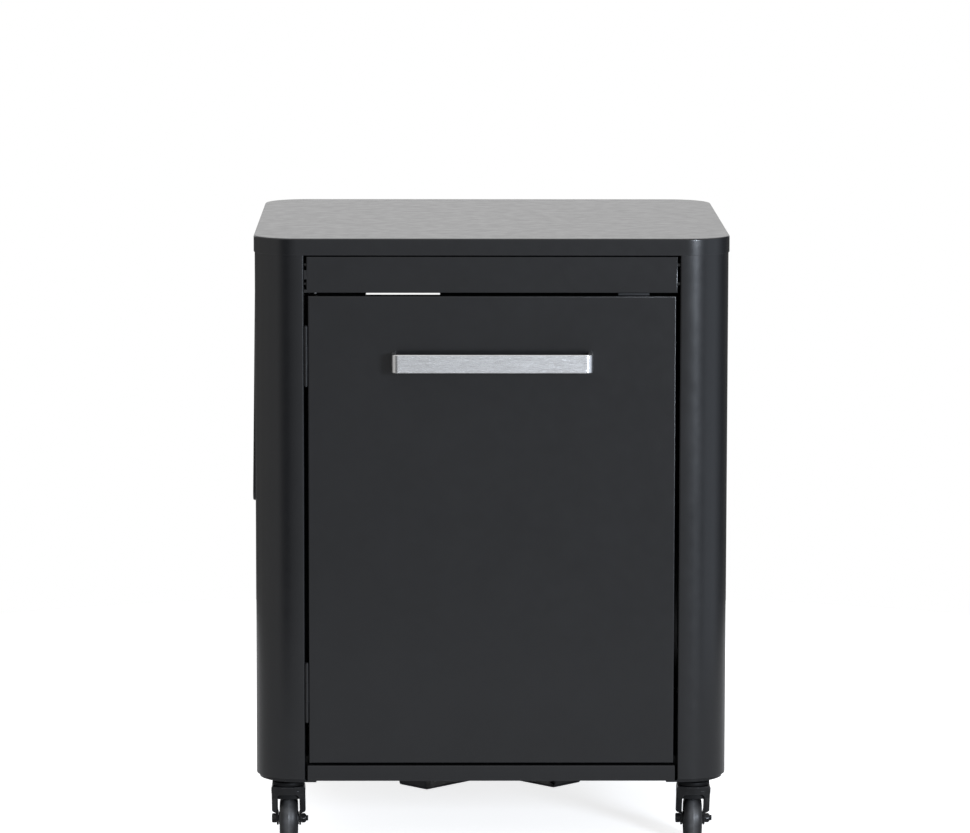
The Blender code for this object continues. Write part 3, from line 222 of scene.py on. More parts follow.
def tyre_rubber(name):
    """Dark rubber, with a painted highlight as a lighter band on its running surface, by a value stored on
    the mesh.
    """
    material, tree, shader, place = new_material(name)
    cloud = noise(tree, place, 0.010, detail=3.0)
    flank = mixed(tree, remap(tree, cloud, 0.0, 1.0), grey(0.0085, 0.0004), grey(0.0130, 0.0005))
    # The running surface's lighter colour is a painted highlight.
    tread = mixed(tree, remap(tree, cloud, 0.0, 1.0), grey(0.060, 0.001), grey(0.090, 0.001))
    highlight_mask = add_node(tree, "ShaderNodeAttribute", {"attribute_name": "tread"}).outputs["Fac"]
    tree.links.new(mixed(tree, highlight_mask, flank, tread), shader.inputs["Base Color"])
    tree.links.new(remap(tree, noise(tree, place, 0.004), 0.40, 0.52), shader.inputs["Roughness"])
    texture = add_node(tree, "ShaderNodeTexVoronoi", Vector=place, Scale=1.0 / 0.0009).outputs["Distance"]
    tree.links.new(bumped(tree, texture, 0.00003), shader.inputs["Normal"])
    shader.inputs["Specular IOR Level"].default_value = 0.35
    return material


def moulded(name, dark, light, rough=(0.42, 0.55), grain=0.0006, specular=0.5):
    """Moulded plastic with a fine tool texture."""
    material, tree, shader, place = new_material(name)
    shader.inputs["Specular IOR Level"].default_value = specular
    cloud = noise(tree, place, 0.012, detail=3.0)
    colour = mixed(tree, remap(tree, cloud, 0.0, 1.0), dark, light)
    tree.links.new(colour, shader.inputs["Base Color"])
    tree.links.new(remap(tree, noise(tree, place, 0.004), *rough), shader.inputs["Roughness"])
    texture = add_node(tree, "ShaderNodeTexVoronoi", Vector=place, Scale=1.0 / grain).outputs["Distance"]
    tree.links.new(bumped(tree, texture, 0.00003), shader.inputs["Normal"])
    return material


# The third grey is the edges' colour: partly wear, partly a painted highlight on the bends.
ANTHRACITE = powder_coat(
    "anthracite_powder_coat", grey(0.0074, 0.0004), grey(0.0092, 0.0005), grey(0.030, 0.001)
)
BLACK = black_paint("black_paint")
STEEL = brushed_steel("brushed_stainless")
ZINC = zinc_plate("zinc_plate")
PLASTIC = moulded("black_plastic", grey(0.013, 0.001), grey(0.020, 0.001))
RUBBER = tyre_rubber("grey_rubber")
# Near-black matte, darker than the black paint: painted shade on the castor stems under the feet and on the
# forks' webs under the crowns.
PAINTED_SHADE_BLACK = moulded(
    "black_seal", grey(0.0030, 0.0002), grey(0.0050, 0.0002),
    rough=(0.50, 0.60), grain=0.0005, specular=0.15,
)

FINISHES = {
    "worktop": ANTHRACITE, "column": ANTHRACITE, "foot": BLACK, "front_rail": ANTHRACITE,
    "rear_panel": ANTHRACITE, "side_panel": ANTHRACITE, "floor_panel": ANTHRACITE,
    "cradle_strap": BLACK, "hinge_leaf": ANTHRACITE, "hinge_pin": ANTHRACITE, "door_catch": PLASTIC,
    # The castor stems take the near-black of painted shade.
    "shelf_bracket": BLACK, "shelf_pin": ZINC, "stay_bracket": BLACK, "castor_stem": PAINTED_SHADE_BLACK,
    "door_panel": ANTHRACITE, "door_handle": STEEL, "handle_screw": ZINC, "catch_strike": ZINC,
    "side_shelf": ANTHRACITE, "shelf_stay": ZINC, "castor_fork": BLACK, "castor_axle": BLACK,
    "wheel_core": PLASTIC, "wheel_tyre": RUBBER,
}
ROUNDS = {
    "foot": STEEL_ROUND, "cradle_strap": STEEL_ROUND, "castor_fork": STEEL_ROUND,
    "door_catch": MOULDED_ROUND, "shelf_bracket": STEEL_ROUND, "stay_bracket": STEEL_ROUND,
}


# Pieces

def add_piece(name, mesh, material, body):
    """A visible piece in its material, on its body."""
    piece = bpy.data.objects.new(name, mesh)
    bpy.context.scene.collection.objects.link(piece)
    mesh.materials.clear()
    mesh.materials.append(material)
    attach(piece, body)
    return piece


def rounded(piece, width, segments=2):
    """Rounds the sharp edges off and keeps the flat faces flat in the light."""
    bevel = piece.modifiers.new("round", "BEVEL")
    bevel.width = width
    bevel.segments = segments
    bevel.limit_method = "ANGLE"
    bevel.angle_limit = SHARP_ANGLE
    piece.data.shade_smooth()
    piece.modifiers.new("weights", "WEIGHTED_NORMAL").weight = 50
    return piece


def round_crown(shape, corner):
    """Bends the front of a fork's crown down to its lip, in place of the sharp corner."""
    place, _ = castor_place(corner)
    local = place.inverted()
    top = max(vert.co.z for vert in shape.verts)
    rim = []
    for edge in shape.edges:
        ends = [local @ vert.co for vert in edge.verts]
        level = all(abs(end.z - top) < 1e-4 for end in ends)
        front = all(end.y < -CROWN_FRONT for end in ends)
        if level and front and edge.calc_face_angle(0.0) > math.radians(60):
            rim.append(edge)
    bmesh.ops.bevel(
        shape, geom=rim, offset=CROWN_BEND, segments=5, profile=0.5, affect="EDGES", offset_type="OFFSET"
    )


def dressed(node):
    """A CAD solid with its edges rounded off, in its place and on its body."""
    slot = SLOTS[node]
    shape = bmesh.new()
    shape.from_mesh(NODES[node].data)
    bmesh.ops.remove_doubles(shape, verts=shape.verts, dist=1e-5)
    bmesh.ops.dissolve_limit(shape, angle_limit=math.radians(0.5), verts=shape.verts, edges=shape.edges)
    if slot == "castor_fork":
        round_crown(shape, node.removeprefix("castor_fork_"))
    verts = [vert.co.copy() for vert in shape.verts]
    faces = [[vert.index for vert in face.verts] for face in shape.faces]
    shape.free()
    mesh = bpy.data.meshes.new(f"{node}_finished")
    mesh.from_pydata(verts, [], faces)
    piece = add_piece(f"{node}_finished", mesh, FINISHES[slot], BODY_OF[node])
    rounded(piece, ROUNDS.get(slot, SHEET_ROUND))
    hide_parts(node)
    return piece


# Fine shapes

def outline_radius(angle, radius, across):
    """How far a round outline reaches at an angle; a hexagon's flats cut it where across isn't 0."""
    if not across:
        return radius
    from_flat = (angle + math.pi / 6) % (math.pi / 3) - math.pi / 6
    return min(radius, across / 2 / math.cos(from_flat))


def spun(levels, steps=36, bored=False):
    """A solid round Z from (height, radius, across flats) levels; a bored one closes on itself."""
    shape = bmesh.new()
    rings = []
    for height, radius, across in levels:
        ring = []
        for step in range(steps):
            angle = 2 * math.pi * step / steps
            reach = outline_radius(angle, radius, across)
            ring.append(shape.verts.new((reach * math.cos(angle), reach * math.sin(angle), height)))
        rings.append(ring)
    pairs = list(zip(rings, rings[1:]))
    if bored:
        pairs.append((rings[-1], rings[0]))
    else:
        shape.faces.new(rings[0][::-1])
        shape.faces.new(rings[-1])
    for lower, upper in pairs:
        for index in range(steps):
            after = (index + 1) % steps
            shape.faces.new((lower[index], lower[after], upper[after], upper[index]))
    bmesh.ops.recalc_face_normals(shape, faces=shape.faces)
    mesh = bpy.data.meshes.new("spun")
    shape.to_mesh(mesh)
    shape.free()
    return mesh


def fine_piece(name, mesh, place, body, slot, stands_for=None, material=None):
    """A finer shape, put in its place on its body; it may stand for a CAD solid.

    Its material is its slot's finish, where no other is given.
    """
    mesh.transform(place)
    mesh.shade_smooth()
    mesh.set_sharp_from_angle(angle=SHARP_ANGLE)
    piece = add_piece(name, mesh, material or FINISHES[slot], body)
    if stands_for:
        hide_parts(stands_for)
    return piece


def millimetres(rows):
    """Levels given in millimetres, as (height, radius) or (height, radius, across flats)."""
    return [tuple(value / 1000 for value in (*row, 0.0)[:3]) for row in rows]


def mirrored(half):
    """A bored profile from one half of it, which starts at the middle of its outer face."""
    return half + [(-height, radius) for height, radius in reversed(half) if height]


# Castors, as levels in millimetres from the wheel's middle or from the ground

TYRE = mirrored([
    (0.0, 31.5), (0.25, 31.38), (3.5, 31.2), (5.5, 30.85), (7.3, 30.25), (8.8, 29.5), (10.1, 28.4),
    (11.1, 27.2), (11.7, 25.9), (11.95, 24.9), (11.7, 24.7), (11.95, 24.5), (12.2, 23.9), (12.1, 23.0),
    (11.7, 22.5),
])
CORE = mirrored([
    (10.1, 22.2), (10.5, 21.8), (10.5, 19.6), (10.1, 19.1), (6.0, 18.9), (5.0, 18.5), (4.5, 17.4),
    (4.5, 11.0), (4.9, 9.9), (6.0, 9.3), (13.0, 9.0), (13.6, 8.4), (13.6, 4.9), (13.2, 4.4),
])
HEX = 11.8
AXLE = [
    (-23.2, 5.2, HEX), (-23.1, 5.7, HEX), (-22.6, 6.4, HEX), (-22.0, 6.8, HEX), (-17.6, 6.8, HEX),
    (-17.5, 6.0), (-16.8, 6.0), (-16.8, 4.0), (16.8, 4.0), (16.8, 6.2), (17.4, 6.2),
    (17.5, 6.8, HEX), (21.4, 6.8, HEX), (21.9, 6.2, HEX), (22.0, 5.6), (22.8, 5.5), (23.3, 5.0),
    (23.3, 3.8), (23.7, 4.0), (24.2, 3.5), (24.7, 4.0), (25.2, 3.5), (25.7, 4.0), (26.3, 3.3),
]
STEM_HEX = 14.7
STEM = [
    (78.0, 4.6), (78.2, 6.2), (79.0, 7.5), (80.0, 8.0), (80.6, 8.0), (80.6, 5.0), (83.6, 5.0),
    (83.6, 21.1), (83.9, 21.6), (84.3, 21.8), (85.7, 21.8), (85.9, 21.2), (86.2, 21.2), (86.4, 21.7),
    (87.7, 21.6), (88.4, 21.2), (88.8, 20.5), (88.9, 19.6), (88.9, 12.8), (89.4, 12.2), (92.7, 12.0),
    (93.1, 11.6), (93.1, 5.0), (107.3, 5.0), (107.3, 7.3), (107.8, 8.5, STEM_HEX),
    (114.7, 8.5, STEM_HEX), (115.3, 7.3, STEM_HEX), (115.3, 4.9), (115.7, 5.0), (116.4, 4.4),
    (117.1, 5.0), (117.8, 4.4), (118.5, 5.0), (119.3, 4.2),
]
HIGHLIGHT_BAND_HALF = 0.0080       # the painted highlight on the running surface fades out this far from the tyre's middle
HIGHLIGHT_BAND_INNER = 0.0290      # and has no part inside this radius
RIBS = 6
RIB_HALF = 0.0010

# The fork's crown, its lip and the web behind it, in metres, heights from the ground
CROWN_BEND = 0.0030       # how far the front edge is rounded down
CROWN_FRONT = 0.0110      # that edge lies further forward than this
CROWN_HALF_WIDTH = 0.0229
CROWN_HALF_DEPTH = 0.0120
CROWN_BULGE = 0.0090
FORK_OPENING = 0.0152     # half width between the legs' edges
SKIN = 0.0001             # how far the skirt lies over the lip
LIP_SHEET = 0.0024
LIP_END_SHARE = 0.6       # the skirt ends this share of its sheet inside the legs' outer sides
LIP_LOW = 0.0718
LIP_HIGH = 0.0770
LIP_CORNER = 0.0058       # radius of the corners between the lip and the legs
WEB_SETBACK = 0.0060      # how far the web is behind the crown's front edge
WEB_SHEET = 0.0016
WEB_LOW = 0.0648
WEB_HIGH = 0.0806
RIB = ((0.0088, 0.0042), (0.0194, 0.0042), (0.0194, 0.0080), (0.0088, 0.0098))


def crowned_tyre():
    """The tyre, with how far each point lies in the painted highlight band on its running surface."""
    mesh = spun(millimetres(TYRE), steps=96, bored=True)
    share = mesh.attributes.new("tread", "FLOAT", "POINT")
    for vert in mesh.vertices:
        radius = math.hypot(vert.co.x, vert.co.y)
        flat = 1.0 - abs(vert.co.z) / HIGHLIGHT_BAND_HALF
        share.data[vert.index].value = max(flat, 0.0) if radius > HIGHLIGHT_BAND_INNER else 0.0
    return mesh


def ribbed_core():
    """The wheel's hub, web and rim, with ribs from hub to rim on both sides."""
    mesh = spun(millimetres(CORE), steps=48, bored=True)
    shape = bmesh.new()
    shape.from_mesh(mesh)
    for index in range(RIBS):
        turn = Matrix.Rotation(2 * math.pi * index / RIBS, 3, "Z")
        for side in (-1, 1):
            rows = []
            for y in (-RIB_HALF, RIB_HALF):
                corners = [turn @ Vector((radius, y, side * height)) for radius, height in RIB]
                rows.append([shape.verts.new(corner) for corner in corners])
            faces = [shape.faces.new(rows[0]), shape.faces.new(rows[1][::-1])]
            for at in range(len(RIB)):
                after = (at + 1) % len(RIB)
                faces.append(shape.faces.new((rows[0][after], rows[0][at], rows[1][at], rows[1][after])))
            bmesh.ops.recalc_face_normals(shape, faces=faces)
    shape.to_mesh(mesh)
    shape.free()
    return mesh


def crown_edge(x):
    """How far in front of the swivel axis the crown's edge is."""
    return CROWN_HALF_DEPTH + CROWN_BULGE * math.sqrt(max(1 - (x / CROWN_HALF_WIDTH) ** 2, 0.0))


def curved_strip(stations):
    """A sheet that follows the crown's edge, from (x, front, back, low, high) stations."""
    shape = bmesh.new()
    rings = []
    for x, front, back, low, high in stations:
        section = ((x, front, low), (x, back, low), (x, back, high), (x, front, high))
        rings.append([shape.verts.new(corner) for corner in section])
    shape.faces.new(rings[0][::-1])
    shape.faces.new(rings[-1])
    for left, right in zip(rings, rings[1:]):
        for index in range(4):
            after = (index + 1) % 4
            shape.faces.new((left[index], left[after], right[after], right[index]))
    bmesh.ops.recalc_face_normals(shape, faces=shape.faces)
    mesh = bpy.data.meshes.new("strip")
    shape.to_mesh(mesh)
    shape.free()
    return mesh


def lip_skirt():
    """The lip's lower edge drawn down to the legs in two round corners."""
    steps = 8
    half = []
    for step in range(steps + 1):
        turn = math.pi / 2 * step / steps
        x = FORK_OPENING - LIP_CORNER * (1 - math.sin(turn))
        half.append((x, LIP_CORNER * (1 - math.cos(turn))))
    half.append((CROWN_HALF_WIDTH - LIP_SHEET * LIP_END_SHARE, LIP_CORNER))
    stations = []
    for x, drop in [(-x, drop) for x, drop in reversed(half)] + half:
        front = -crown_edge(x) - SKIN
        stations.append((x, front, front + LIP_SHEET, LIP_LOW - drop - SKIN, LIP_HIGH))
    return curved_strip(stations)


def fork_web():
    """The web behind the lip, which closes the fork over the wheel."""
    steps = 12
    stations = []
    for step in range(steps + 1):
        x = FORK_OPENING * (2 * step / steps - 1)
        front = -crown_edge(x) + WEB_SETBACK
        stations.append((x, front, front + WEB_SHEET, WEB_LOW, WEB_HIGH))
    return curved_strip(stations)


def castor_place(corner):
    """The castor's frame, on the ground under its swivel axis, and the wheel's middle in it."""
    low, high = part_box(f"castor_stem_{corner}")
    swivel = (low + high) / 2
    low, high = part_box(f"wheel_tyre_{corner}")
    wheel = (low + high) / 2
    trail = wheel.y - swivel.y
    turn = 0.0 if trail > 0 else math.pi
    place = Matrix.Translation((swivel.x, swivel.y, 0.0)) @ Matrix.Rotation(turn, 4, "Z")
    along_axle = Matrix.Rotation(math.pi / 2, 4, "Y")
    return place, place @ Matrix.Translation((0.0, abs(trail), wheel.z)) @ along_axle


def fine_castor(corner):
    """The finer shapes of one castor."""
    place, wheel = castor_place(corner)
    parts = (
        ("wheel_tyre", crowned_tyre(), wheel),
        ("wheel_core", ribbed_core(), wheel),
        ("castor_axle", spun(millimetres(AXLE)), wheel),
        ("castor_stem", spun(millimetres(STEM), steps=72), place),
    )
    for slot, mesh, where in parts:
        node = f"{slot}_{corner}"
        fine_piece(f"{node}_fine", mesh, where, BODY_OF[node], slot, stands_for=node)
    fork = f"castor_fork_{corner}"
    # The web's near-black is painted shade under the crown.
    for name, mesh, material in (("skirt", lip_skirt(), BLACK), ("web", fork_web(), PAINTED_SHADE_BLACK)):
        piece = fine_piece(f"{fork}_{name}", mesh, place, BODY_OF[fork], "castor_fork", material=material)
        rounded(piece, STEEL_ROUND)


# Screws and pins

def screw(head_radius, head_height, length, shank_radius):
    """A pan-head screw with a hexagon socket, head up, from the seat of its head at Z = 0."""
    socket = head_radius * 0.7
    return spun([
        (head_height * 0.35, head_radius, socket),
        (head_height, head_radius, socket),
        (head_height, head_radius * 0.62, 0.0),
        (head_height * 0.86, head_radius * 0.82, 0.0),
        (head_height * 0.5, head_radius * 0.96, 0.0),
        (head_height * 0.2, head_radius, 0.0),
        (0.0, head_radius, 0.0),
        (0.0, shank_radius, 0.0),
        (-length, shank_radius, 0.0),
    ], steps=24)


def facing(point, direction):
    """A frame at a point whose Z axis runs along a direction."""
    return Matrix.Translation(point) @ Vector(direction).to_track_quat("Z", "Y").to_matrix().to_4x4()


HANDLE_HEAD = (0.0040, 0.0025)        # a screw head's radius and height
HANDLE_SHANK = 0.0018
PIN_FLATS = 8.7                       # shelf pin, in millimetres
PIN_HEAD = 4.0
PIN_SHANK = 3.0
PIN_CAP = 2.0
SMALL_HEAD = (0.0026, 0.0013)
SMALL_SHANK = 0.0006
BRACKET_SHEET = 0.0020
BRACKET_SHARES = (0.22, 0.78)
REAR_EDGE = 0.0085                    # from the rear panel's outer face to its edge screws
REAR_SHEET = 0.0010
REAR_SHARES = (0.05, 0.35, 0.65, 0.95)
HINGE_HEAD = (0.0028, 0.0007)
HINGE_SHEET = 0.0012
HINGE_EDGE = 0.0055
HINGE_PITCH = 0.027
CATCH_HEAD = (0.0022, 0.0011)
CATCH_EDGE = 0.0055
STRIKE_HEAD = (0.0024, 0.0012)
STRIKE_EDGE = 0.0050
STRIKE_SHEET = 0.0012
RIVET_HEAD = (0.0036, 0.0018)
RIVET_EDGE = 0.0110
RIVET_OFFSET = 0.0140
STRAP_SHEET = 0.0025
TAB_GAP = 0.0003                      # between the left column and the rail's tabs
TAB_LENGTH = 0.0036
TAB_DEPTHS = (0.0006, 0.0020)
TAB_MIDDLE = (-0.0062, 0.0060)        # from the rail's middle
TAB_FOOT = (0.0004, 0.0044)           # from the rail's lower edge
RAIL_HEAD = (0.0026, 0.0014)
RAIL_SCREW_ALONG = 0.0152
RAIL_SCREW_DEPTH = 0.0055


def fine_handle_screw(side):
    """A handle screw with its head behind the door's face."""
    node = f"handle_screw_{side}"
    low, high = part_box(node)
    middle = (low + high) / 2
    radius, height = HANDLE_HEAD
    seat = high.y - height
    mesh = screw(radius, height, seat - low.y, HANDLE_SHANK)
    place = facing((middle.x, seat, middle.z), (0, 1, 0))
    fine_piece(f"{node}_fine", mesh, place, "door", "handle_screw", stands_for=node)


def fine_shelf_pin(end, outward):
    """A hexagon head, a smooth shank and a riveted cap."""
    node = f"shelf_pin_{end}"
    low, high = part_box(node)
    middle = (low + high) / 2
    long = (high.y - low.y) * 1000
    levels = [
        (0.0, 4.2, PIN_FLATS), (0.4, 5.0, PIN_FLATS), (PIN_HEAD - 0.3, 5.0, PIN_FLATS),
        (PIN_HEAD, 4.4, PIN_FLATS), (PIN_HEAD, PIN_SHANK), (long - PIN_CAP, PIN_SHANK),
        (long - PIN_CAP, 5.5), (long - 0.9, 5.5), (long - 0.2, 4.9), (long, 4.0),
    ]
    inner = low.y if outward > 0 else high.y
    place = facing((middle.x, inner, middle.z), (0, outward, 0))
    mesh = spun(millimetres(levels))
    fine_piece(f"{node}_fine", mesh, place, BODY_OF[node], "shelf_pin", stands_for=node)


def small_screw(name, point, direction, body, slot, head=SMALL_HEAD, material=None):
    """A screw head seated on a face, with a short shank in the sheet."""
    radius, height = head
    mesh = screw(radius, height, SMALL_SHANK, radius / 2)
    fine_piece(name, mesh, facing(point, direction), body, slot, material=material)


def bracket_screws():
    """Two screws through the flange of each bracket on the left side panel."""
    for kind in ("shelf_bracket", "stay_bracket"):
        for end, outward in (("front", -1), ("rear", 1)):
            node = f"{kind}_{end}"
            low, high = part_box(node)
            y = (low.y + high.y) / 2 - outward * BRACKET_SHEET
            face = high.x - BRACKET_SHEET
            for index, share in enumerate(BRACKET_SHARES):
                point = (face, y, low.z + (high.z - low.z) * share)
                small_screw(f"{node}_screw_{index}", point, (-1, 0, 0), "cabinet", kind, material=ZINC)


def rear_screws():
    """Screws through the rear panel's folded edges into the columns' lips, driven from inside."""
    low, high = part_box("rear_panel")
    y = high.y - REAR_EDGE
    for index, share in enumerate(REAR_SHARES):
        z = low.z + (high.z - low.z) * share
        for side, x, inward in (("left", low.x + REAR_SHEET, 1), ("right", high.x - REAR_SHEET, -1)):
            small_screw(f"rear_screw_{side}_{index}", (x, y, z), (inward, 0, 0), "cabinet", "handle_screw")


def hinge_screws():
    """Three flat screws in each hinge leaf, painted over with it."""
    for level in ("upper", "lower"):
        low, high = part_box(f"hinge_{level}_pin")
        axis = (low + high) / 2
        for side, leaf, direction in ((-1, "column", 1), (1, "door", -1)):
            node = f"hinge_{level}_{leaf}_leaf"
            low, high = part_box(node)
            outer = low.x if side < 0 else high.x
            face = outer - side * HINGE_SHEET
            for index, lift in enumerate((-HINGE_PITCH, 0.0, HINGE_PITCH)):
                point = (face, high.y - HINGE_EDGE, axis.z + lift)
                name = f"hinge_{level}_{leaf}_screw_{index}"
                small_screw(name, point, (direction, 0, 0), BODY_OF[node], "hinge_leaf", HINGE_HEAD)


def catch_screws():
    """Two screws under the catch and one under its strike."""
    low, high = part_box("door_catch")
    y = (low.y + high.y) / 2
    for index, x in enumerate((low.x + CATCH_EDGE, high.x - CATCH_EDGE)):
        name = f"catch_screw_{index}"
        small_screw(name, (x, y, low.z), (0, 0, -1), "cabinet", "handle_screw", CATCH_HEAD)
    low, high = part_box("catch_strike")
    point = ((low.x + high.x) / 2, low.y + STRIKE_EDGE, high.z - STRIKE_SHEET)
    small_screw("strike_screw", point, (0, 0, -1), "door", "handle_screw", STRIKE_HEAD)


def strap_rivets():
    """Two rivets in each end of the cradle's straps."""
    for node in ("cradle_strap_lower", "cradle_strap_upper"):
        low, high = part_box(node)
        middle = (low + high) / 2
        along = Vector((1, 0, 0)) if high.x - low.x > high.y - low.y else Vector((0, 1, 0))
        across = Vector((along.y, along.x, 0))
        reach = (high - low).dot(along) / 2 - RIVET_EDGE
        under = high.z - STRAP_SHEET
        for side, end in ((-1, "a"), (1, "b")):
            for offset, mark in ((-RIVET_OFFSET, "a"), (RIVET_OFFSET, "b")):
                spot = middle + along * (side * reach) + across * offset
                point = (spot.x, spot.y, under)
                name = f"{node}_rivet_{end}{mark}"
                small_screw(name, point, (0, 0, -1), "cabinet", "cradle_strap", RIVET_HEAD)


def block(name, low, high):
    """A block's mesh from its lowest to its highest corner."""
    shape = bmesh.new()
    bmesh.ops.create_cube(shape, size=1.0)
    for vert in shape.verts:
        shares = [part + 0.5 for part in vert.co]
        vert.co = Vector(low[axis] + shares[axis] * (high[axis] - low[axis]) for axis in range(3))
    mesh = bpy.data.meshes.new(name)
    shape.to_mesh(mesh)
    shape.free()
    return mesh


def rail_details():
    """The rail's tabs in its left gap, and the screw under it."""
    rail_low, rail_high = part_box("front_rail")
    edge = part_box("column_front_left")[1].x
    left = edge + TAB_GAP
    front, back = (rail_low.y + depth for depth in TAB_DEPTHS)
    middle = (rail_low.z + rail_high.z) / 2
    for name, level, (bottom, top) in (("middle", middle, TAB_MIDDLE), ("foot", rail_low.z, TAB_FOOT)):
        mesh = block(
            f"rail_tab_{name}", (left, front, level + bottom), (left + TAB_LENGTH, back, level + top)
        )
        piece = add_piece(f"rail_tab_{name}", mesh, FINISHES["front_rail"], "cabinet")
        rounded(piece, SHEET_ROUND)
    point = (edge + RAIL_SCREW_ALONG, rail_low.y + RAIL_SCREW_DEPTH, rail_low.z)
    small_screw("rail_screw", point, (0, 0, -1), "cabinet", "handle_screw", RAIL_HEAD)


FINE_SLOTS = ("wheel_tyre", "wheel_core", "castor_axle", "castor_stem", "handle_screw", "shelf_pin")
for node in NODES:
    if SLOTS[node] not in FINE_SLOTS:
        dressed(node)
for corner in CORNERS:
    fine_castor(corner)
for side in ("left", "right"):
    fine_handle_screw(side)
fine_shelf_pin("front", -1)
fine_shelf_pin("rear", 1)
bracket_screws()
rear_screws()
hinge_screws()
catch_screws()
strap_rivets()
rail_details()


# Floor, light and camera

FLOOR_RADIUS = 1.8
FLOOR_SHADE = 0.80
FLOOR_GLOW = 0.76         # lifts the floor to white for the camera only
FLOOR_IN_GLOSS = 0.60     # its shade where the object mirrors it


def add_floor():
    """A round pale floor that shows as white and keeps the object's shadow."""
    shape = bmesh.new()
    bmesh.ops.create_circle(shape, cap_ends=True, segments=96, radius=FLOOR_RADIUS)
    mesh = bpy.data.meshes.new("floor")
    shape.to_mesh(mesh)
    shape.free()
    floor = bpy.data.objects.new("floor", mesh)
    bpy.context.scene.collection.objects.link(floor)
    material = bpy.data.materials.new("floor")
    material.use_nodes = True
    tree = material.node_tree
    tree.nodes.clear()
    output = tree.nodes.new("ShaderNodeOutputMaterial")
    path = tree.nodes.new("ShaderNodeLightPath")
    diffuse = add_node(tree, "ShaderNodeBsdfDiffuse", Color=grey(FLOOR_SHADE))
    dim = add_node(tree, "ShaderNodeBsdfDiffuse", Color=grey(FLOOR_IN_GLOSS))
    glow = add_node(tree, "ShaderNodeEmission", Color=grey(1.0), Strength=FLOOR_GLOW)
    shown = tree.nodes.new("ShaderNodeAddShader")
    tree.links.new(diffuse.outputs[0], shown.inputs[0])
    tree.links.new(glow.outputs[0], shown.inputs[1])
    mix = tree.nodes.new("ShaderNodeMixShader")
    seen = calc(tree, "MAXIMUM", path.outputs["Is Camera Ray"], path.outputs["Is Transmission Ray"])
    tree.links.new(seen, mix.inputs[0])
    base = tree.nodes.new("ShaderNodeMixShader")
    tree.links.new(path.outputs["Is Glossy Ray"], base.inputs[0])
    tree.links.new(diffuse.outputs[0], base.inputs[1])
    tree.links.new(dim.outputs[0], base.inputs[2])
    tree.links.new(base.outputs[0], mix.inputs[1])
    tree.links.new(shown.outputs[0], mix.inputs[2])
    tree.links.new(mix.outputs[0], output.inputs["Surface"])
    mesh.materials.append(material)


# The studio round the object: degrees from the camera's side, positive to the right, then how bright
# and how cool it is there
STUDIO = (
    (-180, 0.93, 0.0), (-160, 0.85, 0.0), (-140, 0.35, 0.0), (-115, 0.35, 0.0), (-95, 0.55, 0.0),
    (-55, 0.65, 0.0), (-46, 0.30, 0.0), (-36, 0.05, 0.2), (-26, 0.07, 0.3), (-14, 0.40, 0.3),
    (-4, 0.55, 0.3), (6, 0.64, 0.4), (14, 0.64, 0.5), (22, 0.50, 0.8), (33, 0.95, 0.9),
    (41, 0.95, 1.0), (49, 0.60, 1.0), (60, 1.15, 1.0), (85, 1.10, 1.0), (102, 0.45, 1.0),
    (114, 0.12, 1.0), (150, 0.06, 0.5), (165, 0.85, 0.0), (180, 0.93, 0.0),
)
HIGH_FRONT = 1.15         # how bright it is overhead, in front and behind
HIGH_REAR = 0.90
HIGH_SPAN = (0.30, 0.70)  # the upward share of a direction over which that sets in
HIGH_DEPTH = (-0.8, 0.8)  # and the rearward share from front to behind
LOW_REAR = 0.12           # how bright it is behind the object and below the horizon
REAR_SPAN = (0.5, 0.8)
LOW_SPAN = (-0.06, 0.04)
COOL = (0.81, 0.885, 1.0)


def cooled(level, share):
    """A light level, as cool as the share says."""
    return [level * (1 - share + share * part) for part in COOL] + [1.0]


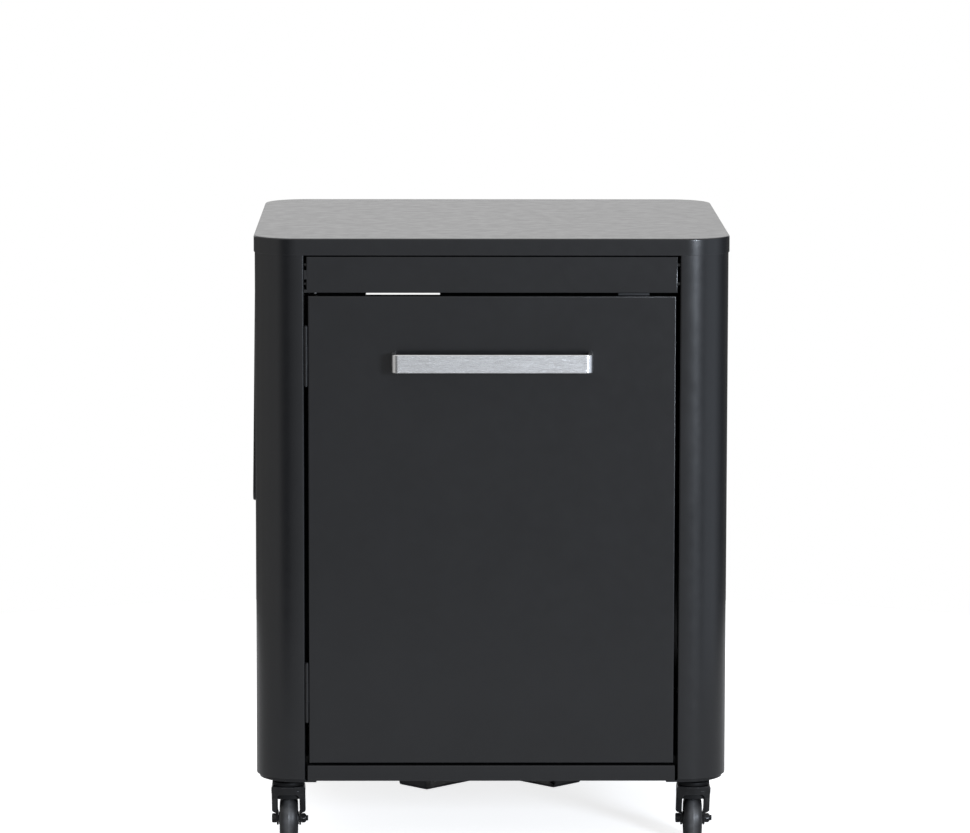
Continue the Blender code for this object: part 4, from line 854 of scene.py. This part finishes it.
def add_world():
    """A studio that differs by direction, and is white where the camera looks past the object.

    The object is lit by the studio, which is the same for every ray but the camera's.
    """
    world = bpy.data.worlds.new("studio")
    bpy.context.scene.world = world
    world.use_nodes = True
    tree = world.node_tree
    tree.nodes.clear()
    output = tree.nodes.new("ShaderNodeOutputWorld")
    direction = add_node(tree, "ShaderNodeTexCoord").outputs["Generated"]
    parts = add_node(tree, "ShaderNodeSeparateXYZ", Vector=direction).outputs
    angle = calc(tree, "ARCTAN2", parts["X"], calc(tree, "MULTIPLY", parts["Y"], -1.0))
    around = tree.nodes.new("ShaderNodeValToRGB")
    tree.links.new(remap(tree, angle, 0.0, 1.0, -math.pi, math.pi), around.inputs[0])
    stops = around.color_ramp.elements
    while len(stops) > 1:
        stops.remove(stops[-1])
    for index, (degrees, level, cool) in enumerate(STUDIO):
        place = (degrees + 180) / 360
        stop = stops[0] if index == 0 else stops.new(place)
        stop.position = place
        stop.color = cooled(level, cool)
    behind = remap(tree, parts["Y"], 0.0, 1.0, *REAR_SPAN)
    below = remap(tree, parts["Z"], 1.0, 0.0, *LOW_SPAN)
    level = mixed(tree, calc(tree, "MULTIPLY", behind, below), around.outputs[0], grey(LOW_REAR))
    high = remap(tree, parts["Y"], HIGH_FRONT, HIGH_REAR, *HIGH_DEPTH)
    colour = mixed(tree, remap(tree, parts["Z"], 0.0, 1.0, *HIGH_SPAN), level, high)
    light = add_node(tree, "ShaderNodeBackground", Color=colour, Strength=1.0)
    white = add_node(tree, "ShaderNodeBackground", Color=grey(1.0), Strength=1.0)
    path = tree.nodes.new("ShaderNodeLightPath")
    mix = tree.nodes.new("ShaderNodeMixShader")
    tree.links.new(path.outputs["Is Camera Ray"], mix.inputs[0])
    tree.links.new(light.outputs[0], mix.inputs[1])
    tree.links.new(white.outputs[0], mix.inputs[2])
    tree.links.new(mix.outputs[0], output.inputs["Surface"])


SOFTBOX_PLACE = (2.99, -5.60, 1.50)
SOFTBOX_TARGET = (0.25, -0.20, 0.60)
SOFTBOX_SIZE = (1.2, 1.0)
SOFTBOX_POWER = 370


def add_softbox():
    """One cool softbox, to the right of the camera."""
    light = bpy.data.lights.new("softbox_right", "AREA")
    light.shape = "RECTANGLE"
    light.size, light.size_y = SOFTBOX_SIZE
    light.energy = SOFTBOX_POWER
    light.color = COOL
    lamp = bpy.data.objects.new("softbox_right", light)
    bpy.context.scene.collection.objects.link(lamp)
    lamp.location = SOFTBOX_PLACE
    aim = Vector(SOFTBOX_TARGET) - Vector(SOFTBOX_PLACE)
    lamp.rotation_euler = aim.to_track_quat("-Z", "Y").to_euler()


CAMERA_PLACE = (-0.0762, -7.0067, 1.4801)
CAMERA_YAW = math.radians(0.583)
CAMERA_PITCH = math.radians(7.517)
CAMERA_ROLL = math.radians(0.086)
CAMERA_LENS = 188.0       # millimetres, as the sensor's width
SENSOR_WIDTH = 36.0


def add_camera():
    """The camera at the photo's place and angle."""
    data = bpy.data.cameras.new("camera")
    data.lens = CAMERA_LENS
    data.sensor_width = SENSOR_WIDTH
    data.clip_end = 200.0
    camera = bpy.data.objects.new("camera", data)
    bpy.context.scene.collection.objects.link(camera)
    turn = (
        Matrix.Rotation(-CAMERA_YAW, 4, "Z")
        @ Matrix.Rotation(math.pi / 2 - CAMERA_PITCH, 4, "X")
        @ Matrix.Rotation(CAMERA_ROLL, 4, "Z")
    )
    camera.matrix_world = Matrix.Translation(CAMERA_PLACE) @ turn
    bpy.context.scene.camera = camera


add_floor()
add_world()
add_softbox()
add_camera()
bpy.context.scene.view_settings.view_transform = "Standard"

bpy.context.view_layer.update()
